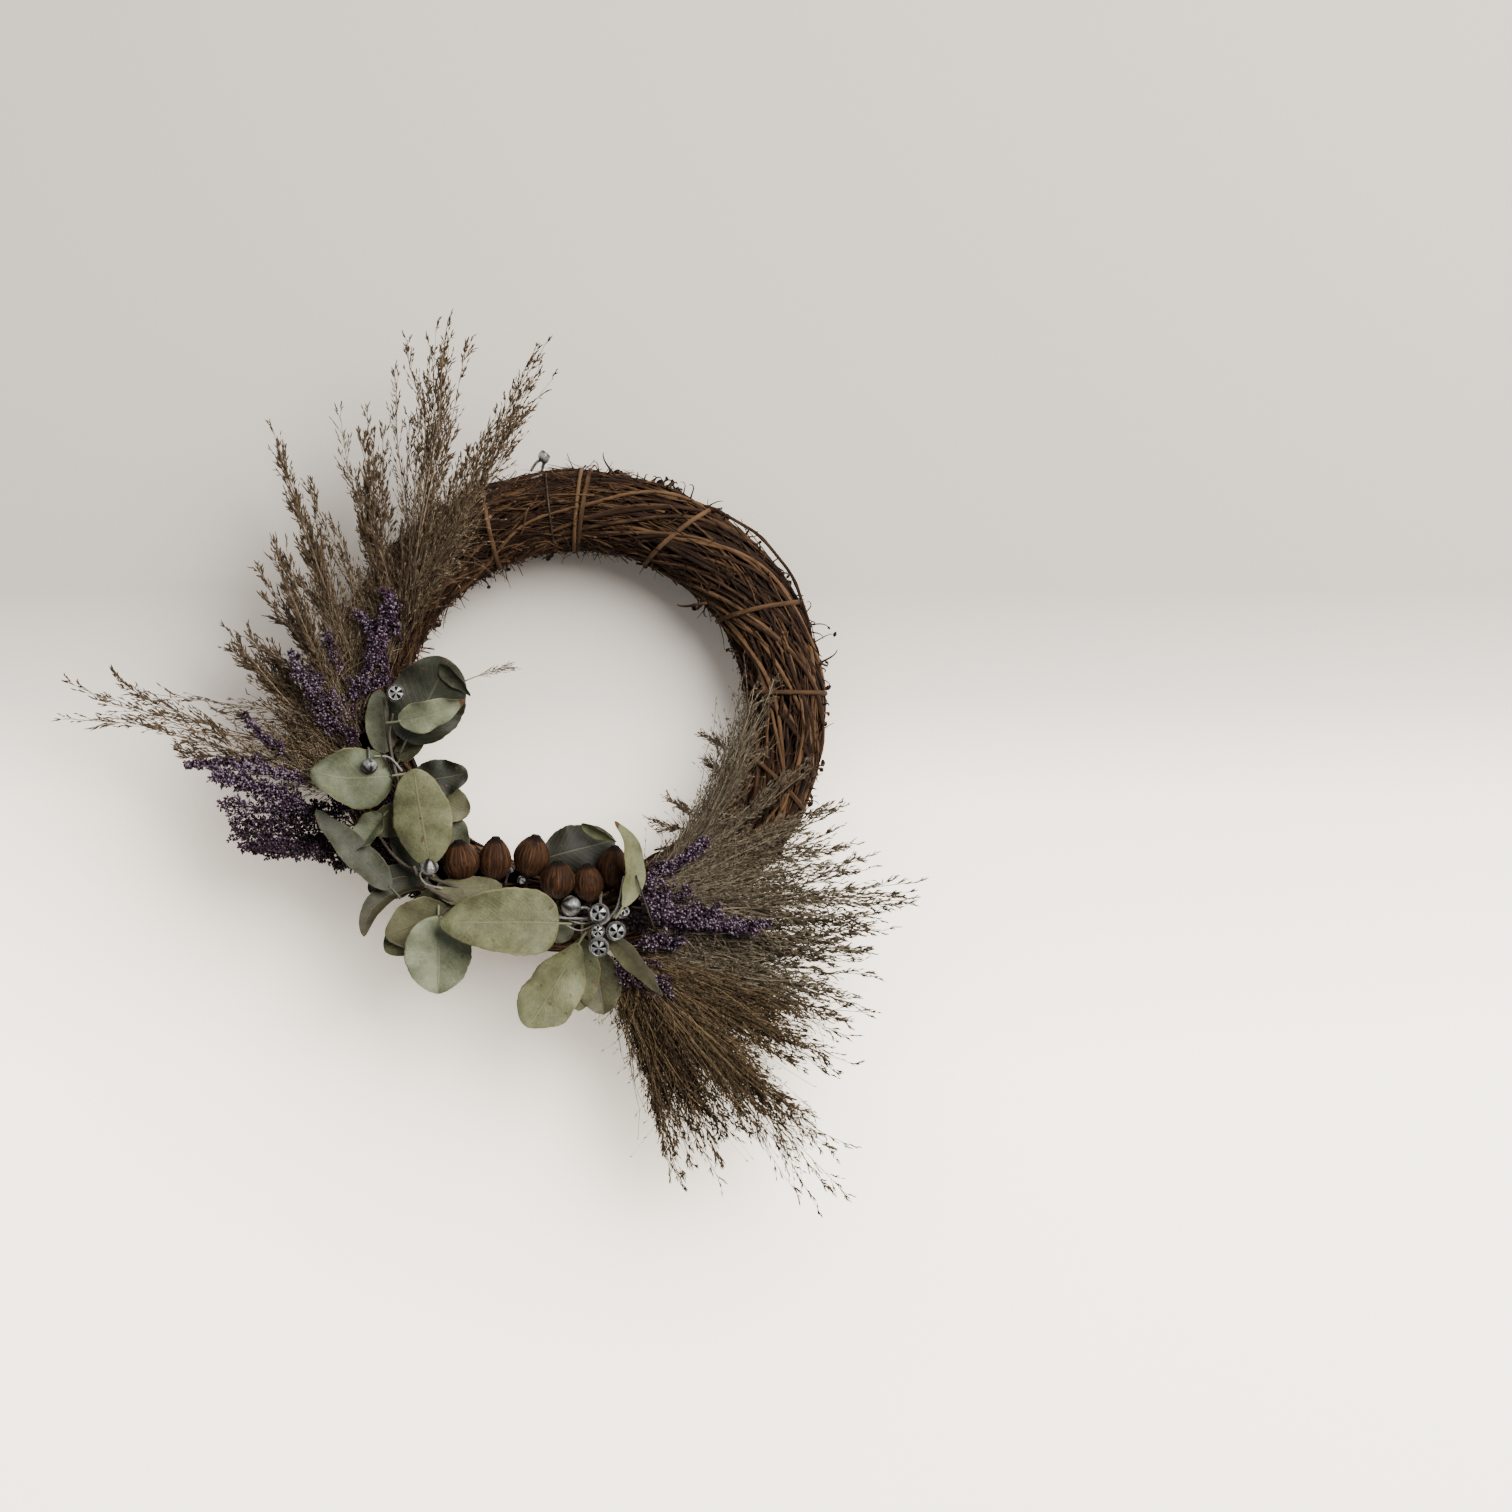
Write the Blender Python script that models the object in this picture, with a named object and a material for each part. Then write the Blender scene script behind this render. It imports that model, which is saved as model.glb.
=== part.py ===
"""Harvest door wreath: a grapevine ring trimmed with dried grass, heather, eucalyptus, seed pods and gumnuts.

It hangs by a stiff wire loop behind its top. The origin is the seat of the hook, on the inside of that
loop's arch. The wreath faces -Y and the wall is behind it at +Y. Places on the ring are given as an angle
round it (0 at the right, 90 at the top), a distance outward from the middle of the bundle, and a distance
forward of the ring's middle plane.
"""

from math import cos, exp, pi, radians, sin

import bmesh
import bpy
from mathutils import Vector

# Driving dimensions, in metres and degrees
RING_HALF_WIDTH = 0.126
RING_HALF_HEIGHT = 0.1205
TURN_COUNT = 6
TURN_RADIUS = 0.0074
TURN_GAP = 0.0006
LAY_TWISTS = 2
RING_STATIONS = 48

WRAP_RADIUS = 0.0015
WRAP_GAP = 0.0006

LOOP_ANGLE = 97
LOOP_RISE = 0.020
LOOP_HALF_WIDTH = 0.009
LOOP_WIRE_RADIUS = 0.0010
LOOP_CORNER = 0.003
LOOP_GAP = 0.0006
BAND_WIRE_RADIUS = 0.0006
BAND_BULGE_SPREAD = 14
BINDING_WIRE_RADIUS = 0.0005
LEFT_BINDING_ANGLE = 194
RIGHT_BINDING_ANGLE = 290

FIRST_LAYER = 0.0030
LAYER_STEP = 0.0036
LAYER_SPREAD = 0.06
LAYER_START = 0.030
STEM_HALF_WIDTH = 0.0028
BOUND_LAYERS = 5.8
FILL = 0.36

LEAF_THICKNESS = 0.0008
GUMNUT_RADIUS = 0.0060
GUMNUT_HEIGHT = 0.0095

# Sizes that follow from them
LAY_RADIUS = (TURN_RADIUS + TURN_GAP / 2) / sin(pi / TURN_COUNT)
CORE_RADIUS = LAY_RADIUS - TURN_RADIUS - TURN_GAP
BUNDLE_RADIUS = LAY_RADIUS + TURN_RADIUS
LOOP_BAR_RADIUS = BUNDLE_RADIUS + LOOP_GAP + LOOP_WIRE_RADIUS
RING_CENTRE = Vector(
    (
        -RING_HALF_WIDTH * cos(radians(LOOP_ANGLE)),
        -LOOP_BAR_RADIUS,
        -LOOP_RISE - RING_HALF_HEIGHT * sin(radians(LOOP_ANGLE)),
    )
)
FORWARD = Vector((0, -1, 0))


def clear_scene():
    for old in list(bpy.data.objects):
        bpy.data.objects.remove(old, do_unlink=True)


def finish(name, colour, roughness, metallic=0.0):
    material = bpy.data.materials.new(name)
    material.use_nodes = True
    shader = material.node_tree.nodes["Principled BSDF"]
    shader.inputs["Base Color"].default_value = (*colour, 1)
    shader.inputs["Roughness"].default_value = roughness
    shader.inputs["Metallic"].default_value = metallic
    return material


def outward_at(angle):
    turn = radians(angle)
    return Vector((cos(turn) / RING_HALF_WIDTH, 0, sin(turn) / RING_HALF_HEIGHT)).normalized()


def ring_point(angle, outward=0.0, forward=0.0):
    turn = radians(angle)
    middle = Vector((RING_HALF_WIDTH * cos(turn), 0, RING_HALF_HEIGHT * sin(turn)))
    return RING_CENTRE + middle + outward_at(angle) * outward + FORWARD * forward


def trim_point(angle, edge, above):
    """A place on the trimmed side: edge is 1 at the bundle's outer edge and -1 at its inner edge."""
    return ring_point(angle, edge * BUNDLE_RADIUS, BUNDLE_RADIUS + above)


def round_section(centre, side, up, radius, sides):
    turns = [2 * pi * i / sides for i in range(sides)]
    return [centre + side * radius * cos(t) + up * radius * sin(t) for t in turns]


def loft(name, sections, material, closed=False):
    """One closed skin through sections that have the same number of points."""
    mesh = bmesh.new()
    rows = [[mesh.verts.new(p) for p in section] for section in sections]
    pairs = list(zip(rows, rows[1:]))
    if closed:
        pairs.append((rows[-1], rows[0]))
    else:
        mesh.faces.new(rows[0])
        mesh.faces.new(reversed(rows[-1]))
    count = len(rows[0])
    for near, far in pairs:
        for i in range(count):
            j = (i + 1) % count
            mesh.faces.new((near[i], far[i], far[j], near[j]))
    bmesh.ops.recalc_face_normals(mesh, faces=mesh.faces)
    data = bpy.data.meshes.new(name)
    mesh.to_mesh(data)
    mesh.free()
    data.shade_smooth()
    data.materials.append(material)
    thing = bpy.data.objects.new(name, data)
    bpy.context.scene.collection.objects.link(thing)
    return thing


def turn_of_vine(name, phase, lay_radius, radius, material):
    """One turn of the bundle, laid round its middle like a strand of rope."""
    sections = []
    for i in range(RING_STATIONS):
        angle = 360 * i / RING_STATIONS
        lay = phase + LAY_TWISTS * radians(angle)
        centre = ring_point(angle, lay_radius * cos(lay), lay_radius * sin(lay))
        sections.append(round_section(centre, outward_at(angle), FORWARD, radius, 6))
    return loft(name, sections, material, closed=True)


def loop_round_bundle(name, outer_angle, inner_angle, reach, radius, material, points=18, sides=5):
    """A closed loop round the bundle. reach(t) is its distance from the bundle's middle."""
    sections = []
    for i in range(points):
        t = 2 * pi * i / points
        share = (1 + cos(t)) / 2
        angle = inner_angle + (outer_angle - inner_angle) * share
        distance = reach(t)
        out = outward_at(angle)
        centre = ring_point(angle, distance * cos(t), distance * sin(t))
        radial = out * cos(t) + FORWARD * sin(t)
        tangent = out.cross(FORWARD)
        sections.append(round_section(centre, radial, tangent, radius, sides))
    return loft(name, sections, material, closed=True)


def vine_ring(material):
    turn_of_vine("vine_core", 0, 0, CORE_RADIUS, material)
    for i in range(TURN_COUNT):
        phase = 2 * pi * i / TURN_COUNT
        turn_of_vine(f"vine_turn_{i + 1}", phase, LAY_RADIUS, TURN_RADIUS, material)


def vine_wraps(material):
    reach = BUNDLE_RADIUS + WRAP_GAP + WRAP_RADIUS
    places = ((86.5, 89.4), (112, 116), (56, 67), (26, 35), (4, 6.5), (336, 346))
    for i, (outer, inner) in enumerate(places):
        loop_round_bundle(f"vine_wrap_{i + 1}", outer, inner, lambda t: reach, WRAP_RADIUS, material)


def hanging_loop(material):
    """A D of stiff wire, its straight bar on the joint's axis and its arch over the hook."""
    arch_radius = LOOP_HALF_WIDTH
    arch_height = LOOP_RISE + LOOP_WIRE_RADIUS - arch_radius
    corner = LOOP_HALF_WIDTH - LOOP_CORNER
    path = [(arch_radius * cos(pi * i / 10), arch_height + arch_radius * sin(pi * i / 10)) for i in range(11)]
    for side, start in ((-1, pi), (1, 1.5 * pi)):
        for i in range(5):
            t = start + pi / 2 * i / 4
            path.append((side * corner + LOOP_CORNER * cos(t), LOOP_CORNER + LOOP_CORNER * sin(t)))
    sections = []
    for i, (x, z) in enumerate(path):
        before, after = path[i - 1], path[(i + 1) % len(path)]
        along = Vector((after[0] - before[0], 0, after[1] - before[1])).normalized()
        side = along.cross(FORWARD)
        sections.append(round_section(Vector((x, 0, z)), side, FORWARD, LOOP_WIRE_RADIUS, 6))
    loop = loft("hanging_loop", sections, material, closed=True)
    loop.location = (0, 0, -LOOP_RISE)


def hanger_band(material):
    """Wire round the bundle that bulges over the loop's bar at the back."""
    close = BUNDLE_RADIUS + LOOP_GAP + BAND_WIRE_RADIUS
    bulge = LOOP_BAR_RADIUS + LOOP_WIRE_RADIUS + LOOP_GAP + BAND_WIRE_RADIUS - close
    spread = radians(BAND_BULGE_SPREAD)

    def reach(t):
        return close + bulge * exp(-(((t - 1.5 * pi) / spread) ** 2))

    loop_round_bundle("hanger_band", LOOP_ANGLE, LOOP_ANGLE, reach, BAND_WIRE_RADIUS, material, 36)


def binding_wires(material):
    """Loops that hold the stems against the front of the ring."""
    close = BUNDLE_RADIUS + WRAP_GAP + BINDING_WIRE_RADIUS
    front = BUNDLE_RADIUS + FIRST_LAYER + BOUND_LAYERS * LAYER_STEP

    def reach(t):
        if sin(t) <= 0:
            return close
        return 1 / ((abs(cos(t)) / close) ** 4 + (sin(t) / front) ** 4) ** 0.25

    for name, angle in (("binding_wire_left", LEFT_BINDING_ANGLE), ("binding_wire_right", RIGHT_BINDING_ANGLE)):
        loop_round_bundle(name, angle, angle, reach, BINDING_WIRE_RADIUS, material, 24)


def plume(name, angle, edge, heading, length, half_width, layer, material, bow=0.0):
    """A flattened spindle: the room that one bunch or sprig takes, from its bound end to its tips."""
    along = Vector((cos(radians(heading)), 0, sin(radians(heading))))
    across = Vector((-along.z, 0, along.x))
    base = trim_point(angle, edge, FIRST_LAYER)
    sections = []
    for s in (0, 0.16, 0.36, 0.6, 0.82, 1):
        spread = LAYER_STEP + LAYER_SPREAD * max(0, s * length - LAYER_START)
        swell = sin(pi * (0.06 + 0.86 * s))
        wide = STEM_HALF_WIDTH + (half_width - STEM_HALF_WIDTH) * swell
        thick = FILL * spread
        if s == 0:
            wide = STEM_HALF_WIDTH
        if s == 1:
            wide = half_width * 0.3
            thick = thick * 0.5
        lift = FORWARD * layer * spread
        centre = base + along * s * length + across * bow * length * 4 * s * (1 - s) + lift
        turns = [2 * pi * i / 6 for i in range(6)]
        sections.append([centre + across * wide * cos(t) + FORWARD * thick * sin(t) for t in turns])
    return loft(name, sections, material)


def grasses(material):
    left = (
        (200, 0.79, 160, 0.174, 0.013, 1, 0.0),
        (195, 0.61, 129, 0.105, 0.014, 0, 0.0),
        (187, 0.22, 114, 0.121, 0.014, 2, 0.0),
        (179, -0.09, 108, 0.174, 0.015, 1, 0.0),
        (165, -0.44, 94, 0.150, 0.015, 0, 0.0),
        (150, -0.53, 81, 0.178, 0.016, 2, 0.0),
        (140, -0.48, 66, 0.164, 0.015, 1, 0.0),
    )
    for i, place in enumerate(left):
        plume(f"grass_left_{i + 1}", *place[:6], material, place[6])
    right = (
        (289, -0.44, 22, 0.128, 0.014, 1, 0.0),
        (288.5, 0.13, 6, 0.164, 0.014, 2, 0.0),
        (285, 1.23, -7, 0.138, 0.014, 0, 0.0),
        (283.5, 1.23, -24, 0.145, 0.015, 1, 0.0),
        (282, 1.4, -46, 0.188, 0.016, 2, 0.0),
        (278.5, 1.54, -63, 0.140, 0.018, 0, 0.0),
    )
    for i, place in enumerate(right):
        plume(f"grass_right_{i + 1}", *place[:6], material, place[6])
    plume("grass_inner", 298, -0.83, 56, 0.116, 0.010, 2, material, -0.08)


def heathers(material):
    places = (
        ("heather_left_1", 190, 0.57, 118, 0.062, 0.008, 3),
        ("heather_left_2", 181, 0.26, 70, 0.071, 0.007, 4),
        ("heather_left_3", 203, 1.54, 159, 0.084, 0.008, 3),
        ("heather_left_4", 212, 1.62, 176, 0.055, 0.008, 4),
        ("heather_right_1", 286, -0.26, 36, 0.054, 0.007, 3),
        ("heather_right_2", 285.5, 0.18, -8, 0.081, 0.009, 4),
        ("heather_right_3", 277, 1.23, -32, 0.040, 0.008, 3),
    )
    for place in places:
        plume(*place, material)


def leaf(name, angle, edge, heading, length, width, above, rise, roll, cup, material):
    """A dried leaf from its stalk end to its tip: a thin oval, dished across and leaning forward by rise."""
    along = Vector((cos(radians(heading)), 0, sin(radians(heading))))
    flat = Vector((-along.z, 0, along.x))
    across = flat * cos(radians(roll)) + FORWARD * sin(radians(roll))
    face = across.cross(along)
    if face.dot(FORWARD) < 0:
        face = -face
    base = trim_point(angle, edge, above)
    half = LEAF_THICKNESS / 2
    sections = []
    for s in (0, 0.1, 0.3, 0.52, 0.74, 0.92, 1):
        wide = max(0.0009, width / 2 * sin(pi * s**0.85) ** 0.7) if 0 < s < 1 else 0.0009
        middle = base + along * s * length + FORWARD * rise * s + face * cup * 0.4 * sin(pi * s)
        dish = face * cup * (wide / (width / 2)) ** 2
        left_edge = middle - across * wide + dish
        right_edge = middle + across * wide + dish
        top = [left_edge + face * half, middle + face * half, right_edge + face * half]
        under = [right_edge - face * half, middle - face * half, left_edge - face * half]
        sections.append(top + under)
    return loft(name, sections, material)


def leaves(green, sage):
    places = (
        ("leaf_upper_round", 186, -0.92, 62, 0.050, 0.035, 0.0242, 0.004, 0, -0.003, green),
        ("leaf_upper_pale", 184, -0.96, 15, 0.040, 0.022, 0.0312, 0.004, 20, 0.003, sage),
        ("leaf_kidney", 200, -0.26, -172, 0.047, 0.034, 0.0282, 0.006, 10, 0.003, sage),
        ("leaf_large", 228, 0.26, 100, 0.058, 0.034, 0.0322, 0.006, -10, -0.003, sage),
        ("leaf_inner_dark", 205, -0.88, 10, 0.034, 0.020, 0.0212, 0.002, 0, 0.003, green),
        ("leaf_narrow_outer", 225, 1.27, 135, 0.062, 0.013, 0.0242, 0.002, 25, 0.002, green),
        ("leaf_low_left", 239, 0.7, -157, 0.040, 0.028, 0.0152, 0.000, -15, 0.003, green),
        ("leaf_low_round", 237, 1.01, -90, 0.047, 0.038, 0.0222, 0.002, 0, -0.003, sage),
        ("leaf_long", 266, 0.26, 179, 0.068, 0.036, 0.0292, 0.004, 10, 0.003, sage),
        ("leaf_bottom_gold", 271, 0.75, -121, 0.059, 0.027, 0.0232, 0.006, 20, 0.003, sage),
        ("leaf_inner_upright", 282.5, -0.04, 97, 0.054, 0.013, 0.0252, 0.006, 35, 0.002, sage),
    )
    for place in places:
        leaf(*place)


def turned(name, base, axis, profile, sides, material):
    """A turned solid: profile gives (distance along the axis, radius) from its lower end to its top."""
    axis = axis.normalized()
    side = axis.cross(Vector((0, 0, 1)) if abs(axis.z) < 0.9 else Vector((1, 0, 0))).normalized()
    up = axis.cross(side)
    sections = [round_section(base + axis * d, side, up, r, sides) for d, r in profile]
    return loft(name, sections, material)


def seed_pod(name, angle, edge, above, lean, radius, height, material):
    """An egg-shaped dry pod, pointed at its crown and at its stalk."""
    axis = Vector((sin(radians(lean)), -0.15, cos(radians(lean))))
    shape = ((0, 0.12), (0.1, 0.55), (0.28, 0.9), (0.46, 1), (0.64, 0.88), (0.82, 0.56), (0.95, 0.26), (1, 0.2))
    profile = [(height * d, radius * r) for d, r in shape]
    base = trim_point(angle, edge, above) - axis.normalized() * height / 2
    turned(name, base, axis, profile, 10, material)


def seed_pods(material):
    places = (
        (234.5, -0.48, 0.0137, -6, 0.0108, 0.025),
        (243.5, -0.96, 0.0082, 2, 0.0095, 0.027),
        (255, -1.36, 0.0082, 12, 0.0106, 0.026),
        (265, -0.88, 0.0172, 2, 0.0102, 0.023),
        (274.5, -0.79, 0.0105, -4, 0.0088, 0.023),
        (283, -1.1, 0.0007, 6, 0.0092, 0.026),
    )
    for i, place in enumerate(places):
        seed_pod(f"seed_pod_{i + 1}", *place, material)


def gumnut(name, angle, edge, above, stalk, axis, material):
    """A woody cup on a thin stalk, its rim at the front."""
    radius, height = GUMNUT_RADIUS, GUMNUT_HEIGHT
    profile = (
        (-height - stalk, 0.0008),
        (-height, 0.0010),
        (-0.85 * height, 0.55 * radius),
        (-0.45 * height, 0.96 * radius),
        (-0.2 * height, radius),
        (0, 0.72 * radius),
    )
    turned(name, trim_point(angle, edge, above), Vector(axis), profile, 8, material)


def gumnuts(material):
    gumnut("gumnut_top", 96.2, 1.51, -0.0128, 0.007, (0.7, -0.1, 0.8), material)
    gumnut("gumnut_left", 174, -0.96, 0.0392, 0.003, (0.1, -1, 0.1), material)
    gumnut("gumnut_upper", 277, -0.02, 0.0342, 0.014, (-0.1, -1, 0.15), material)
    gumnut("gumnut_right", 281, 0.53, 0.0362, 0.014, (0.2, -1, 0.0), material)
    gumnut("gumnut_lower", 276.2, 0.88, 0.0432, 0.012, (0.0, -1, -0.15), material)


def wreath():
    clear_scene()
    vine = finish("dried vine", (0.16, 0.075, 0.04), 0.8)
    wire = finish("galvanised wire", (0.45, 0.45, 0.43), 0.4, 1.0)
    straw = finish("dried grass", (0.20, 0.15, 0.09), 0.9)
    purple = finish("dried heather", (0.12, 0.07, 0.18), 0.9)
    green = finish("dark leaf", (0.09, 0.11, 0.07), 0.7)
    sage = finish("sage leaf", (0.30, 0.33, 0.22), 0.7)
    husk = finish("pod husk", (0.12, 0.05, 0.03), 0.6)
    silver = finish("frosted gumnut", (0.55, 0.55, 0.53), 0.35, 0.4)
    vine_ring(vine)
    vine_wraps(vine)
    hanging_loop(wire)
    hanger_band(wire)
    binding_wires(wire)
    grasses(straw)
    heathers(purple)
    leaves(green, sage)
    seed_pods(husk)
    gumnuts(silver)


wreath()
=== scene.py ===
from math import cos, pi, radians, sin

import bpy
import numpy as np
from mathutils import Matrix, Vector


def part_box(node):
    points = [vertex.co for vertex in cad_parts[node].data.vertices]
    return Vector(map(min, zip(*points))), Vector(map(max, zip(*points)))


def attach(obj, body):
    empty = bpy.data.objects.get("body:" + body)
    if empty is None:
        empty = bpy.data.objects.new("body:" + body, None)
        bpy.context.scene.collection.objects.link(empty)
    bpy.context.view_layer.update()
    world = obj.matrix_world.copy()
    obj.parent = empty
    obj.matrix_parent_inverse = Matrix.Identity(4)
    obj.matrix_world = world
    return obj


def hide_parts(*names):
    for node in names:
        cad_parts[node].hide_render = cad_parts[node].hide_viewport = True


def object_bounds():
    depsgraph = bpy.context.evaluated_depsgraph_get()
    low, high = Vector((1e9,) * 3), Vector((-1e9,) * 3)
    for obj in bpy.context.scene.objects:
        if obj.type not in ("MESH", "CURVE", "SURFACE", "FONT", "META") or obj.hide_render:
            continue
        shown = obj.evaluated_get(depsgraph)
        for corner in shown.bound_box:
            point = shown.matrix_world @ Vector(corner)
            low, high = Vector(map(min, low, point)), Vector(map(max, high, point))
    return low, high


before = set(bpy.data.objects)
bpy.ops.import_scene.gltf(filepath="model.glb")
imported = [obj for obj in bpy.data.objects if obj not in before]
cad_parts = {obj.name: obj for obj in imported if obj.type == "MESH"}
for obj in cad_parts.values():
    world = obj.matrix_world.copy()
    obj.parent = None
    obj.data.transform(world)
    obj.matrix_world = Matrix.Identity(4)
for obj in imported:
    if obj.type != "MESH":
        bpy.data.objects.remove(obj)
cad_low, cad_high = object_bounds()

# The wall, the light and the camera.
# The wreath hangs on a pale wall, warm white low down and greyer above. The wall glows with painted light,
# most of it low down, and is dimmer where the wreath hides the big light, through real shadow and through
# painted shadow on the glow.
# The wall's back face is clear and it throws no shadow, so the wreath can be seen and lit from behind.
core_low, core_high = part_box("vine_core")
ring_middle = (core_low + core_high) / 2
VIEW_WIDTH = 0.907
VIEW_DISTANCE = 3.0
VIEW_ASIDE = 0.108
VIEW_BELOW = 0.027


def put_in_scene(name, data):
    """A new object in the scene, with its mesh, light or camera data."""
    thing = bpy.data.objects.new(name, data)
    bpy.context.scene.collection.objects.link(thing)
    return thing


camera = put_in_scene("camera", bpy.data.cameras.new("camera"))
camera.location = ring_middle + Vector((VIEW_ASIDE, -VIEW_DISTANCE, -VIEW_BELOW))
camera.rotation_euler = (pi / 2, 0, 0)
camera.data.lens = camera.data.sensor_width * VIEW_DISTANCE / VIEW_WIDTH
camera.data.clip_start = 0.05
camera.data.clip_end = 20
bpy.context.scene.camera = camera


def new_finish(name):
    """A new material, a way to add nodes to it, and a way to set or feed what its shader takes."""
    material = bpy.data.materials.new(name)
    material.use_nodes = True
    tree = material.node_tree

    def fill(node, inputs):
        for key, value in inputs.items():
            if isinstance(value, bpy.types.NodeSocket):
                tree.links.new(value, node.inputs[key])
            else:
                node.inputs[key].default_value = value

    def add(kind, inputs=None, **settings):
        node = tree.nodes.new("ShaderNode" + kind)
        for key, value in settings.items():
            setattr(node, key, value)
        fill(node, inputs or {})
        return node

    def finish(inputs):
        fill(tree.nodes["Principled BSDF"], inputs)

    return material, add, finish


def maths(add, operation, *values):
    return add("Math", dict(enumerate(values)), operation=operation).outputs[0]


def stretch(add, value, low, high, to_low=0.0, to_high=1.0):
    """The values from low to high, stretched over another range and cut off at its ends."""
    ends = {"From Min": low, "From Max": high, "To Min": to_low, "To Max": to_high}
    return add("MapRange", {"Value": value, **ends}).outputs["Result"]


def colour_steps(add, value, *steps):
    """A colour ramp through (place, red, green, blue) steps."""
    ramp = add("ValToRGB", {0: value})
    marks = ramp.color_ramp.elements
    while len(marks) < len(steps):
        marks.new(0.5)
    for mark, (place, red, green, blue) in zip(marks, steps):
        mark.position = place
        mark.color = (red, green, blue, 1)
    return ramp.outputs["Color"]


WALL_GAP = 0.008
WALL_HALF = 3.0
WHITE_BELOW = -0.36
GREY_ABOVE = 0.0
TO_LIGHT = (0.52, -0.72, 0.46)
SHADE_REACH = 0.25
SHADE_DEPTH = 2.1
PAINTED_GLOW = 3.2
wall_mesh = bpy.data.meshes.new("wall")
wall_y = cad_high.y + WALL_GAP
corners = [(-1, -1), (1, -1), (1, 1), (-1, 1)]
wall_mesh.from_pydata([(x * WALL_HALF, wall_y, z * WALL_HALF) for x, z in corners], [], [(0, 1, 2, 3)])
wall = put_in_scene("wall", wall_mesh)
paint, add, finish = new_finish("wall paint with painted glow")
height = add("SeparateXYZ", {0: add("TexCoord").outputs["Object"]}).outputs["Z"]
level = stretch(add, height, WHITE_BELOW, GREY_ABOVE)
tint = colour_steps(
    add, level, (0.0, 0.95, 0.88, 0.80), (0.46, 0.92, 0.85, 0.765), (0.64, 0.72, 0.66, 0.59),
    (0.82, 0.55, 0.507, 0.450),
)
# Painted light: the wall glows though it is no lamp, most strongly low down.
painted_glow = colour_steps(
    add, level, (0.0, 0.98, 0.87, 0.70), (0.46, 0.58, 0.505, 0.41), (0.64, 0.20, 0.176, 0.15),
    (0.82, 0.070, 0.061, 0.051),
)
# Painted shadow: the glow is dimmed where the wreath stands between the wall and the big light.
to_light = add("CombineXYZ", dict(zip("XYZ", TO_LIGHT))).outputs[0]
painted_shadow_openness = add("AmbientOcclusion", {"Distance": SHADE_REACH, "Normal": to_light}, samples=6).outputs["AO"]
finish({
    "Base Color": tint,
    "Emission Color": painted_glow,
    "Emission Strength": maths(add, "MULTIPLY", maths(add, "POWER", painted_shadow_openness, SHADE_DEPTH), PAINTED_GLOW),
    "Roughness": 0.9,
    "Specular IOR Level": 0.1,
})
painted, surface = (paint.node_tree.nodes[name] for name in ("Principled BSDF", "Material Output"))
back_face = add("NewGeometry").outputs["Backfacing"]
clear = add("BsdfTransparent").outputs[0]
one_sided = add("MixShader", {0: back_face, 1: painted.outputs[0], 2: clear}).outputs[0]
paint.node_tree.links.new(one_sided, surface.inputs["Surface"])
wall_mesh.materials.append(paint)
wall.visible_shadow = False


def soft_light(name, offset, size, power, colour):
    """A round light, aimed at the middle of the ring from an offset."""
    lamp = put_in_scene(name, bpy.data.lights.new(name, "AREA"))
    lamp.data.shape = "DISK"
    lamp.data.size = size
    lamp.data.energy = power
    lamp.data.color = colour
    lamp.location = ring_middle + Vector(offset)
    lamp.rotation_euler = Vector(offset).to_track_quat("Z", "Y").to_euler()


soft_light("key light", (1.25, -1.95, 1.10), 2.0, 176, (1.0, 0.98, 0.95))
soft_light("fill light", (-1.6, -2.2, 0.2), 2.0, 6, (0.95, 0.97, 1.0))
soft_light("back light", (0.6, 2.2, 0.8), 2.0, 55, (1.0, 1.0, 1.0))
world = bpy.data.worlds.new("room light")
world.use_nodes = True
background = world.node_tree.nodes["Background"]
background.inputs["Color"].default_value = (0.95, 0.96, 1.0, 1)
background.inputs["Strength"].default_value = 0.22
bpy.context.scene.world = world

# The grapevine ring.
# Long dried vines, wound round and round into a hoop as thick as a wrist and laid like the strands of a rope.
# The bark is red-brown, fluted along the vine, knuckled where leaves grew, and shaggy on the upper left.
ring_core = (core_high.y - core_low.y) / 2 / cos(pi / 6)
half_width = (core_high.x - core_low.x) / 2 - ring_core
half_height = (core_high.z - core_low.z) / 2 - ring_core
TURNS = [f"vine_turn_{i}" for i in range(1, 7)]
bundle = ring_middle.y - min(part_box(node)[0].y for node in TURNS) + 0.001


def on_ring(turn, out, forward):
    """Points at angles round the ring, in radians, so far out of the bundle's middle and forward of it."""
    turn, out, forward = np.broadcast_arrays(np.asarray(turn, float), out, forward)
    across, up = np.cos(turn) / half_width, np.sin(turn) / half_height
    length = np.hypot(across, up)
    x = ring_middle.x + half_width * np.cos(turn) + out * across / length
    z = ring_middle.z + half_height * np.sin(turn) + out * up / length
    return np.stack([x, ring_middle.y - forward, z], axis=-1)


def unit(vectors):
    return vectors / np.maximum(np.linalg.norm(vectors, axis=-1, keepdims=True), 1e-9)


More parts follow.
